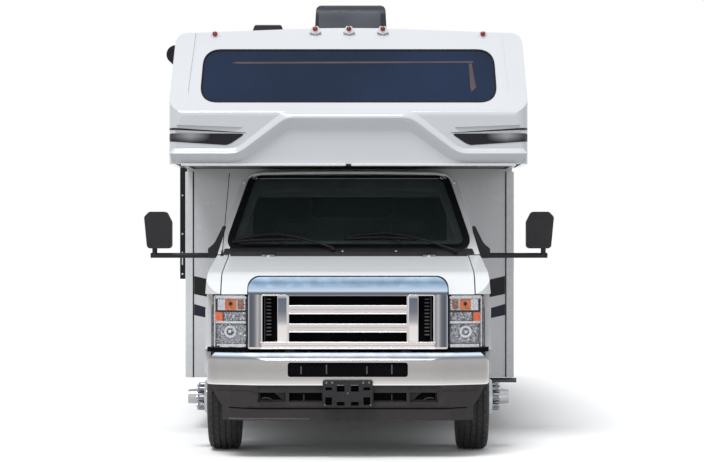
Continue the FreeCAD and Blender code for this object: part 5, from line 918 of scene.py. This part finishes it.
loop_strip("pillar_trim", screen_outline(0.845, 1.452, 0.690, 1.915, 0.06, 0.08), 0.075, behind_screen,
           "cabin_trim", bulge=0.012)
bm = bmesh.new()
for points in (((243, 198), (248.5, 201), (251.5, 208), (249.5, 217), (244, 224.5)),
               ((458.5, 198), (453.5, 201.5), (451.5, 209), (454.5, 218), (461, 225))):
    tube(bm, [on_screen(px, py, -0.10) for px, py in points], 0.012, 8)
piece("grab_handles", bm, "cabin_trim")


# Walls: white corner trims, gutters, skirt rails and the printed bands
WALL_OUT = 1.2905
TAIL_OUT = 3.6405
bm = bmesh.new()
seams = bmesh.new()
for side, sign in SIDES:
    side_block(bm, sign, (1.236, 1.2925), (-1.574, 0.415), (-1.5612, 2.036))
    side_block(bm, sign, (WALL_OUT, 1.2945), (-1.574, 0.415), (-1.515, 2.036))
    side_block(bm, sign, (WALL_OUT, 1.2945), (3.575, 0.60), (3.644, 2.96))
    side_block(bm, sign, (1.222, 1.2945), (TAIL_OUT, 0.60), (3.6445, 2.96))
    side_block(bm, sign, (1.2902, 1.304), (-2.10, 2.940), (3.60, 2.972))
    side_block(bm, sign, (1.2902, 1.300), (-1.50, 0.414), (0.60, 0.436))
    side_block(bm, sign, (1.2902, 1.300), (1.52, 0.414), (3.60, 0.436))
    side_block(seams, sign, (1.2275, 1.2355), (-1.5635, 0.415), (-1.5605, 2.036))
block(bm, (-1.225, TAIL_OUT, 2.925), (1.225, 3.6445, 2.96))
piece("wall_trims", bm, "trim_white", bevel=0.0035)
piece("wall_trim_seams", seams, "rubber_seal")

BAND_START = -1.512
for label, (top, foot), inner, end in (("black", ((1.2135, 1.178), (1.0715, 1.0400)), 1.074, 3.30),
                                       ("navy", ((0.9926, 0.961), (0.9059, 0.882)), 1.115, 2.35)):
    look = f"stripe_{label}"
    for side, sign in SIDES:
        corners = [(sign * 1.2255, top[0]), (sign * inner, top[1]), (sign * inner, foot[1]),
                   (sign * 1.2255, foot[0])]
        decal(f"front_band_{label}_{side}", corners, "front", ("front_wall",), look, 0.0015, cell=0.03)
        runs = [(BAND_START, end)] if side == "left" else [(BAND_START, -0.476), (0.216, end)]
        for k, (start, stop) in enumerate(runs):
            lean = (top[0] - foot[0]) * 1.2 if stop == end else 0
            corners = [(start, foot[0]), (stop - lean, foot[0]), (stop, top[0]), (start, top[0])]
            decal(f"side_band_{label}_{side}_{k}", corners, side, (f"{side}_wall",), look, 0.0012, cell=0.06)
    decal(f"door_band_{label}", rectangle(-0.458, 0.196, foot[0], top[0]), "right", ("entry_door",),
          look, 0.0012, "house_door", cell=0.06)

# Windows: dark frames with a slider bar on the walls, and at the rear
WINDOWS = {
    "left": ((-2.06, -1.40, 2.38, 2.70), (-0.96, 0.06, 1.62, 2.33), (2.13, 2.99, 1.72, 2.33)),
    "right": ((-2.06, -1.40, 2.38, 2.70), (-1.36, -0.70, 1.62, 2.33), (1.70, 2.62, 1.72, 2.33)),
}
for side, sign in SIDES:
    for k, (front, rear, low, high) in enumerate(WINDOWS[side]):
        loop_strip(f"window_frame_{side}_{k}", soft_box((front, rear, low, high), 0.06, 6), 0.044,
                   on_nodes(side, (f"{side}_wall", "side_windows")), bulge=0.009)
        if k:
            bm = bmesh.new()
            reach = (1.2835, 1.294)
            middle = (front + rear) / 2
            side_block(bm, sign, reach, (middle - 0.009, low + 0.02), (middle + 0.009, high - 0.02))
            side_block(bm, sign, reach, (front + 0.02, low + 0.095), (rear - 0.02, low + 0.110))
            piece(f"window_bars_{side}_{k}", bm, "rubber_seal", bevel=0.002)
loop_strip("rear_window_frame", soft_box((-0.42, 0.42, 1.75, 2.25), 0.06, 6), 0.044,
           on_nodes("rear", ("rear_wall", "side_windows")), bulge=0.009)

# Entry door: window frame, edge, handle with its lock, grab bar. Flaps and lockers on the walls
loop_strip("entry_window_frame", soft_box((-0.31, 0.05, 1.50, 2.10), 0.06, 6), 0.04,
           on_nodes("right", ("entry_door", "entry_glass")), body="house_door", bulge=0.008)
loop_strip("entry_door_edge", soft_box((-0.452, 0.192, 0.568, 2.412), 0.065, 6), 0.018,
           on_nodes("right", ("entry_door",)), "trim_white", "house_door", 0.004)


def handle(name, side, body, y, z, look, long, high, base=1.292):
    """A flush plate with a raised grip and a key hole, on a side of the vehicle."""
    sign = dict(SIDES)[side]
    bm = bmesh.new()
    plate(bm, (y - long / 2, y + long / 2, z - high / 2, z + high / 2), 0.014, 4, "X",
          *span(sign, base, base + 0.006))
    plate(bm, (y - long * 0.36, y + long * 0.36, z + high * 0.02, z + high * 0.30), 0.009, 4, "X",
          *span(sign, base + 0.006, base + 0.015))
    near, far = sign * (base + 0.006), sign * (base + 0.010)
    lathe(bm, [(near, 0.009), (far, 0.008), (far, 0)], "X", (y, z - high * 0.26), 16)
    piece(name, bm, look, body, bevel=0.0015)


handle("entry_handle", "right", "house_door", 0.120, 1.33, "black_plastic", 0.085, 0.16)
handle("fuel_flap", "left", "coach", -1.20, 0.80, "trim_white", 0.16, 0.16)
handle("water_inlet", "left", "coach", 0.42, 0.72, "trim_white", 0.13, 0.15)
handle("power_inlet", "left", "coach", 1.80, 0.80, "trim_white", 0.12, 0.12)
for side, sign in SIDES:
    for k, y in enumerate((2.36, 2.94)):
        handle(f"locker_latch_{side}_{k}", side, f"{side}_locker", y, 0.62, "black_plastic", 0.075, 0.065,
               WALL_OUT)
    loop_strip(f"locker_edge_{side}", soft_box((2.158, 3.142, 0.478, 0.694), 0.02, 4), 0.014,
               on_nodes(side, (f"{side}_locker_lid",)), "trim_white", f"{side}_locker")

bm = bmesh.new()
tube(bm, [(x, 0.29, z) for x, z in ((-1.291, 1.10), (-1.330, 1.115), (-1.336, 1.15), (-1.336, 1.47),
                                    (-1.330, 1.505), (-1.291, 1.52))], 0.011, 10)
piece("entry_grab_bar", bm, "black_plastic")


# Vents with sloping slats, small side lamps and the tail's lamps
def louvre_panel(name, sign, front, rear, low, high, slats):
    """A framed vent with sloping slats."""
    bm = bmesh.new()
    frame_ring(bm, soft_box((front, rear, low, high), 0.016, 4),
               soft_box((front + 0.03, rear - 0.03, low + 0.03, high - 0.03), 0.010, 4),
               "X", *span(sign, WALL_OUT, 1.300))
    pitch = (high - low - 0.07) / slats
    for i in range(slats):
        foot = low + 0.035 + pitch * i
        corners = [(sign * 1.2915, foot + pitch * 0.62), (sign * 1.2915, foot + pitch * 0.80),
                   (sign * 1.2985, foot + pitch * 0.25), (sign * 1.2985, foot + pitch * 0.07)]
        slab(bm, corners, "Y", front + 0.028, rear - 0.028)
    piece(name, bm, "trim_white")
    bm = bmesh.new()
    side_block(bm, sign, (1.2902, 1.2908), (front + 0.02, low + 0.02), (rear - 0.02, high - 0.02))
    piece(f"{name}_back", bm, "shadow_gap")


louvre_panel("cooling_vent_low", 1, 0.62, 1.14, 0.70, 1.02, 9)
louvre_panel("cooling_vent_high", 1, 0.62, 1.14, 1.75, 2.00, 7)
louvre_panel("heater_vent", 1, 1.62, 1.90, 1.32, 1.60, 6)
louvre_panel("stove_vent", -1, 0.55, 0.87, 1.70, 1.88, 4)

for name, look, spots in (("side_marks_amber", "amber_lens", ((-1.95, 2.82), (0.40, 0.50))),
                          ("side_marks_red", "red_lens", ((3.50, 2.82),))):
    bm = bmesh.new()
    for side, sign in SIDES:
        for y, z in spots:
            plate(bm, (y - 0.05, y + 0.05, z - 0.016, z + 0.016), 0.008, 3, "X", *span(sign, WALL_OUT, 1.304))
    piece(name, bm, look, bevel=0.002)

bm = bmesh.new()
bezel = bmesh.new()
white_part = bmesh.new()
for side, sign in SIDES:
    low_x, high_x = span(sign, 1.105, 1.225)
    frame_ring(bezel, soft_box((low_x, high_x, 0.88, 1.24), 0.018, 4),
               soft_box((low_x + 0.008, high_x - 0.008, 0.888, 1.232), 0.012, 4), "Y", 3.641, 3.671)
    for z in (0.957, 1.163):
        lathe(bm, [(3.666, 0.046), (3.674, 0.045), (3.678, 0.030), (3.679, 0)], "Y", (sign * 1.165, z), 24)
    plate(white_part, (low_x + 0.018, high_x - 0.018, 1.028, 1.092), 0.008, 3, "Y", 3.6655, 3.676)
for x in (-0.16, 0.0, 0.16, -1.05, 1.05):
    plate(bm, (x - 0.045, x + 0.045, 2.862, 2.892), 0.008, 3, "Y", TAIL_OUT, 3.656)
piece("tail_lamp_rings", bm, "red_lens", bevel=0.001)
piece("tail_lamp_bezels", bezel, "chrome")
piece("tail_lamp_white", white_part, "trim_white", bevel=0.001)
bm = bmesh.new()
plate(bm, (-0.17, 0.17, 0.66, 0.83), 0.012, 4, "Y", TAIL_OUT, 3.648)
plate(bm, (-0.06, 0.06, 0.838, 0.862), 0.006, 3, "Y", TAIL_OUT, 3.664)
piece("tail_plate_seat", bm, "black_plastic", bevel=0.002)

# Cab doors: handle and glass seal
for side, sign in SIDES:
    body = f"{side}_cab_door"
    bm = bmesh.new()
    plate(bm, (-1.82, -1.67, 1.175, 1.235), 0.016, 4, "X", *span(sign, 1.004, 1.012))
    plate(bm, (-1.805, -1.685, 1.196, 1.222), 0.010, 4, "X", *span(sign, 1.012, 1.020))
    piece(f"cab_handle_{side}", bm, "black_plastic", body, bevel=0.002)
    seal = rounded([(-2.335, 1.395), (-1.70, 1.395), (-1.70, 1.895), (-2.07, 1.895), (-2.335, 1.60)], 0.03, 5)
    loop_strip(f"cab_glass_seal_{side}", seal, 0.026, on_nodes(side, (f"{side}_door", f"{side}_door_glass")),
               body=body, bulge=0.004)


# Lower valance: hook plates with a dark hole, air slots, a groove, slanting ends, lip line
LOW = ("front_valance",)
for side, outline in both_sides(rounded([(-0.614, 0.378, 0.03), (-0.418, 0.378), (-0.418, 0.492),
                                         (-0.614, 0.492)], 0.004, 4)):
    loop_strip(f"hook_plate_edge_{side}", outline, 0.009, on_nodes("front", LOW), "valance_plastic",
               bulge=0.004)
for name, corners, lift in (
        ("hook_hole", [(-0.599, 0.401), (-0.450, 0.401), (-0.478, 0.430), (-0.510, 0.451),
                       (-0.599, 0.451)], 0.003),
        ("valance_slot", rectangle(-0.400, -0.178, 0.388, 0.446), 0.002)):
    for side, outline in both_sides(corners):
        decal(f"{name}_{side}", outline, "front", LOW, "shadow_gap", lift)
decal("valance_groove", [(-0.84, 0.345), (-0.62, 0.338), (0.62, 0.338), (0.84, 0.345), (0.84, 0.352),
                         (0.62, 0.346), (-0.62, 0.346), (-0.84, 0.352)], "front", LOW, "shadow_gap",
      0.002, tear=20)
bm = bmesh.new()
for side, sign in reversed(SIDES):
    slab(bm, [(sign * x, y) for x, y in ((0.798, -3.6425), (0.860, -3.6205), (0.860, -3.608),
                                         (0.798, -3.630))], "Z", 0.266, 0.5025)
    tube(bm, [(sign * x, y, 0.470) for x, y in ((0.615, -3.709), (0.72, -3.672), (0.80, -3.645),
                                                (0.90, -3.606))], 0.0035, 6)
piece("valance_ends", bm, "valance_plastic")
bm = bmesh.new()
for side, sign in reversed(SIDES):
    tube(bm, [(sign * x, y, z) for x, y, z in ((0.585, -3.692, 0.412), (0.560, -3.696, 0.418),
                                               (0.535, -3.696, 0.414), (0.520, -3.692, 0.406))], 0.005, 8)
    block(bm, (sign * 0.30 - 0.004, -3.688, 0.385), (sign * 0.30 + 0.004, -3.680, 0.440))
piece("tow_hooks", bm, "hook_grey")
decal("valance_lip_shine", rectangle(-0.86, -0.26, 0.268, 0.278), "front", LOW, "lip_grey", 0.002)

bm = bmesh.new()
for size, places in ((0.0085, ((-0.145, 0.524), (-0.105, 0.524), (0.105, 0.524), (0.145, 0.524))),
                     (0.006, ((0.0, 0.452), (-0.155, 0.372), (0.155, 0.372)))):
    for place in places:
        lathe(bm, [(-3.745, size), (-3.7500, size - 0.001), (-3.7503, 0)], "Y", place, 12)
piece("plate_bolts", bm, "bolt_grey")

# Wide cap window: a faint warm edge of the bunk's lining behind the glass
for name, points, lift in (
        ("bunk_edge_top", [(231, 61.6), (234, 60.2), (474, 59.4), (474, 61.2), (240, 62.2)], 0.0015),
        ("bunk_edge_side", [(469.6, 62.0), (472.6, 62.0), (475.5, 88.2), (470.6, 93.0),
                            (469.8, 88.0)], 0.0018)):
    decal(name, pixels(points, -2.75), "front", ("front_window",), "bunk_edge", lift)

# Mirrors: glass with its rim at the rear
for side, sign in SIDES:
    body = f"{side}_cab_door"
    mirror = (f"{side}_mirror",)
    face = [(sign * 1.364, 1.464), (sign * 1.518, 1.464), (sign * 1.510, 1.684), (sign * 1.392, 1.684)]
    face = rounded(face if sign > 0 else face[::-1], 0.022, 5)
    loop_strip(f"mirror_rim_{side}", face, 0.008, on_nodes("rear", mirror), body=body)
    decal(f"mirror_glass_{side}", face, "rear", mirror, "mirror_face", 0.0015, body)

# Awning: end caps, arm bolts with the slot plate, the rolled cloth
ROLL = (-1.375, 2.965)
bm = bmesh.new()
dark = bmesh.new()
for y, way in ((-1.530, -1), (3.040, 1)):
    lathe(dark, [(y + way * 0.0004, 0), (y + way * 0.0004, 0.070), (y - way * 0.014, 0.0745),
                 (y - way * 0.018, 0.0725)], "Y", ROLL, 32)
for z, size in ((1.545, 0.008), (1.229, 0.008), (2.40, 0.007), (1.85, 0.007)):
    lathe(bm, [(-1.5300, size), (-1.5340, size * 0.9), (-1.5348, 0)], "Y", (-1.321, z), 12)
plate(bm, (-1.3255, -1.3165, 1.30, 1.405), 0.004, 3, "Y", -1.5325, -1.5300)
piece("awning_bolts", bm, "bolt_pale")
piece("awning_end_caps", dark, "awning_alloy")
bm = bmesh.new()
lathe(bm, [(-1.510, 0.0725), (-1.506, 0.0738), (3.016, 0.0738), (3.020, 0.0725)], "Y", ROLL, 40)
piece("awning_cloth_roll", bm, "rolled_cloth")

# Roof: dark aerial, lids on the vents, slots and a face panel on the cooler
bm = bmesh.new()
lathe(bm, [(3.085, 0.085), (3.150, 0.084), (3.158, 0.078), (3.158, 0.044), (3.232, 0.0435), (3.240, 0.03),
           (3.240, 0)], "Z", (-0.68, -0.71), 32)
slab(bm, rounded([(-0.812, 3.221), (-0.548, 3.221), (-0.570, 3.280, 0.02), (-0.790, 3.280, 0.02)], 0.006, 4),
     "Y", -0.782, -0.638)
piece("roof_aerial", bm, "aerial_black", bevel=0.004)
bm = bmesh.new()
for y in (-1.15, 2.60):
    plate(bm, (-0.215, 0.215, y - 0.010, y + 0.420), 0.05, 6, "Z", 3.168, 3.180)
    for k in range(5):
        x = -0.14 + 0.07 * k
        block(bm, (x - 0.010, y + 0.05, 3.180), (x + 0.010, y + 0.36, 3.184))
piece("roof_vent_lids", bm, "vent_lid", bevel=0.004)

COOLER_LOW = 2.95
COOLER_RISE = 0.622
bm = bmesh.new()
for side, sign in reversed(SIDES):
    for k in range(9):
        side_block(bm, sign, (0.326, 0.3312), (0.46 + k * 0.065, 3.17), (0.49 + k * 0.065, 3.36))
for vert in bm.verts:
    vert.co.x -= math.copysign(0.026, vert.co.x) * (vert.co.z - COOLER_LOW) / COOLER_RISE
for k in range(7):
    x = -0.24 + k * 0.08
    skin(bm, [[bm.verts.new((x + dx, 1.2312 - 0.060 * (z - COOLER_LOW) / COOLER_RISE - dy, z))
               for dx, z in rectangle(-0.028, 0.028, 3.18, 3.30)] for dy in (0, 0.004)])
piece("cooler_slots", bm, "shadow_gap")
decal("cooler_face_panel", soft_box((-0.282, 0.262, 3.115, 3.515), 0.03, 5), "front", ("air_conditioner",),
      "cooler_face", 0.003, cell=0.05)

for side, sign in SIDES:
    build_lugs(f"rear_{side}_lug_covers", 1.060 * sign, sign, REAR_AXLE_Y, f"rear_{side}_twin_wheels")


# Cab seats: blown-up cushions with sewn channels on a plain base
CLOTH_STEPS = 20
CLOTH_PRESSURE = 4


def held(name, mesh):
    """An object in the scene that holds a mesh."""
    thing = bpy.data.objects.new(name, mesh)
    bpy.context.scene.collection.objects.link(thing)
    return thing


def settled(thing):
    """A piece as its modifiers leave it."""
    return thing.evaluated_get(bpy.context.evaluated_depsgraph_get())


def pillow(size, swell, voxel=0.011):
    """A closed cushion mesh about the origin, blown up as cloth and held to a small swell."""
    bm = bmesh.new()
    bmesh.ops.create_cube(bm, size=1.0)
    for vert in bm.verts:
        vert.co = Vector((vert.co.x * (size[0] - swell), vert.co.y * (size[1] - swell),
                          vert.co.z * (size[2] - swell * 1.6)))
    bmesh.ops.bevel(bm, geom=bm.edges[:], offset=min(size) * 0.26, segments=3, affect="EDGES", profile=0.6)
    mesh = bpy.data.meshes.new("pillow")
    bm.to_mesh(mesh)
    bm.free()
    thing = held("pillow", mesh)
    grid = thing.modifiers.new("grid", "REMESH")
    grid.mode = "VOXEL"
    grid.voxel_size = voxel
    dense = bpy.data.meshes.new_from_object(settled(thing))
    thing.modifiers.clear()
    thing.data = dense
    rest = [v.co.copy() for v in dense.vertices]
    blown = rest
    cloth = thing.modifiers.new("cloth", "CLOTH")
    cloth.settings.use_pressure = True
    cloth.settings.uniform_pressure_force = CLOTH_PRESSURE
    cloth.settings.effector_weights.gravity = 0
    cloth.point_cache.frame_end = CLOTH_STEPS
    for frame_number in range(1, CLOTH_STEPS + 1):
        bpy.context.scene.frame_set(frame_number)
    blown = [v.co.copy() for v in settled(thing).data.vertices]
    bpy.context.scene.frame_set(1)
    thing.modifiers.clear()
    for vert, old, new in zip(dense.vertices, rest, blown):
        step = new - old
        if step.length > swell:
            step = step.normalized() * swell
        crown = (1 - min(1, abs(old.x) / size[0] * 2) ** 2) * (1 - min(1, abs(old.y) / size[1] * 2) ** 2)
        vert.co = old + step + Vector((0, 0, math.copysign(crown * swell * 0.5, old.z)))
    bpy.data.objects.remove(thing)
    return dense


def sewn(mesh, lines, cross, half_wide):
    """Presses sewn channels into the top of a cushion and a seam round its middle."""
    for vert in mesh.vertices:
        x, y, z = vert.co
        if z > 0:
            for line in lines:
                near = abs(x - line)
                if near < 0.016 and abs(y) < cross[1] and y > cross[0]:
                    vert.co.z -= 0.011 * (1 - near / 0.016)
            for edge in cross:
                near = abs(y - edge)
                if near < 0.014 and abs(x) < half_wide:
                    vert.co.z -= 0.009 * (1 - near / 0.014)
        if abs(z) < 0.012:
            press = 1 - 0.012 * (1 - abs(z) / 0.012) / 0.24
            vert.co.x *= press
            vert.co.y *= press


def cushions(name, mesh, centre, lean=0):
    """One cushion mesh for each seat, moved, turned and set to ride on the coach."""
    for side, sign in SIDES:
        copy = mesh.copy()
        copy.transform(Matrix.Translation((sign * centre[0], *centre[1:]))
                       @ Matrix.Rotation(math.radians(lean), 4, "X"))
        thing = held(f"{name}_{side}", copy)
        for face in copy.polygons:
            face.use_smooth = True
        wear(thing, "seat_cloth")
        fine = thing.modifiers.new("fine", "SUBSURF")
        fine.levels = 1
        fine.render_levels = 1
        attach(thing, "coach")
        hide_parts("cab_seats")


CHANNELS = (-0.085, 0.085)
pad = pillow((0.50, 0.46, 0.125), 0.014)
sewn(pad, CHANNELS, (-0.17, 0.17), 0.20)
cushions("seat_pad", pad, (0.455, -1.985, 0.972))
back = pillow((0.47, 0.50, 0.125), 0.014)
sewn(back, CHANNELS, (-0.19, 0.15), 0.19)
cushions("seat_back", back, (0.455, -1.735, 1.262), 78)
head = pillow((0.26, 0.13, 0.085), 0.009, 0.008)
sewn(head, (), (), 0.1)
cushions("head_rest", head, (0.455, -1.672, 1.592), 80)
arm = pillow((0.060, 0.30, 0.070), 0.006, 0.008)
cushions("arm_rest", arm, (0.205, -1.90, 1.150))

bm = bmesh.new()
for side, sign in SIDES:
    slab(bm, rounded([(-2.17, 0.822), (-1.80, 0.822), (-1.77, 0.905), (-2.20, 0.905)], 0.012, 3), "X",
         *span(sign, 0.235, 0.675))
    for x in (sign * 0.455 - 0.05, sign * 0.455 + 0.05):
        tube(bm, [(x, -1.690, 1.48), (x, -1.676, 1.56)], 0.006, 8)
    tube(bm, [(sign * 0.205, -1.76, 1.135), (sign * 0.25, -1.75, 1.135)], 0.014, 10)
    side_block(bm, sign, (0.50, 0.945), (-2.28, 0.452), (-1.57, 0.460))
piece("seat_bases", bm, "black_plastic", bevel=0.004, covers=("cab_seats",))

# Dashboard: brow over the dials, centre panel, glove box lid, screen, vents, dials
bm = bmesh.new()
slab(bm, rounded([(-2.50, 1.296), (-2.325, 1.262), (-2.300, 1.302), (-2.335, 1.352),
                  (-2.49, 1.330)], 0.02, 4), "X", 0.285, 0.655)
plate(bm, (-0.135, 0.135, 0.975, 1.235), 0.02, 4, "Y", -2.332, -2.314)
plate(bm, (-0.62, -0.19, 0.985, 1.13), 0.02, 4, "Y", -2.332, -2.322)
for x in (-0.07, 0.07):
    lathe(bm, [(-2.314, 0.016), (-2.298, 0.015), (-2.295, 0)], "Y", (x, 1.02), 16)
piece("dash_panels", bm, "black_plastic", bevel=0.003)
bm = bmesh.new()
plate(bm, (-0.105, 0.105, 1.075, 1.205), 0.008, 3, "Y", -2.3145, -2.311)
piece("dash_screen", bm, "tinted_glass", bevel=0.001)
bm = bmesh.new()
for x in (-0.72, -0.19, 0.19, 0.745):
    frame_ring(bm, soft_box((x - 0.055, x + 0.055, 1.165, 1.228), 0.012, 3),
               soft_box((x - 0.047, x + 0.047, 1.173, 1.220), 0.008, 3), "Y", -2.334, -2.322)
    for k in range(4):
        z = 1.180 + k * 0.0105
        block(bm, (x - 0.048, -2.331, z), (x + 0.048, -2.325, z + 0.004))
piece("dash_vents", bm, "vent_grey")
bm = bmesh.new()
for x in (0.385, 0.555):
    lathe(bm, [(-2.331, 0.058), (-2.322, 0.057), (-2.322, 0.052), (-2.327, 0.050), (-2.327, 0)],
          "Y", (x, 1.19), 32)
    for k in range(11):
        turn = math.radians(-135 + 27 * k)
        tube(bm, [(x + reach * math.sin(turn), -2.3262, 1.19 + reach * math.cos(turn))
                  for reach in (0.047, 0.040)], 0.0012, 5)
piece("dash_dials", bm, "dial_grey")
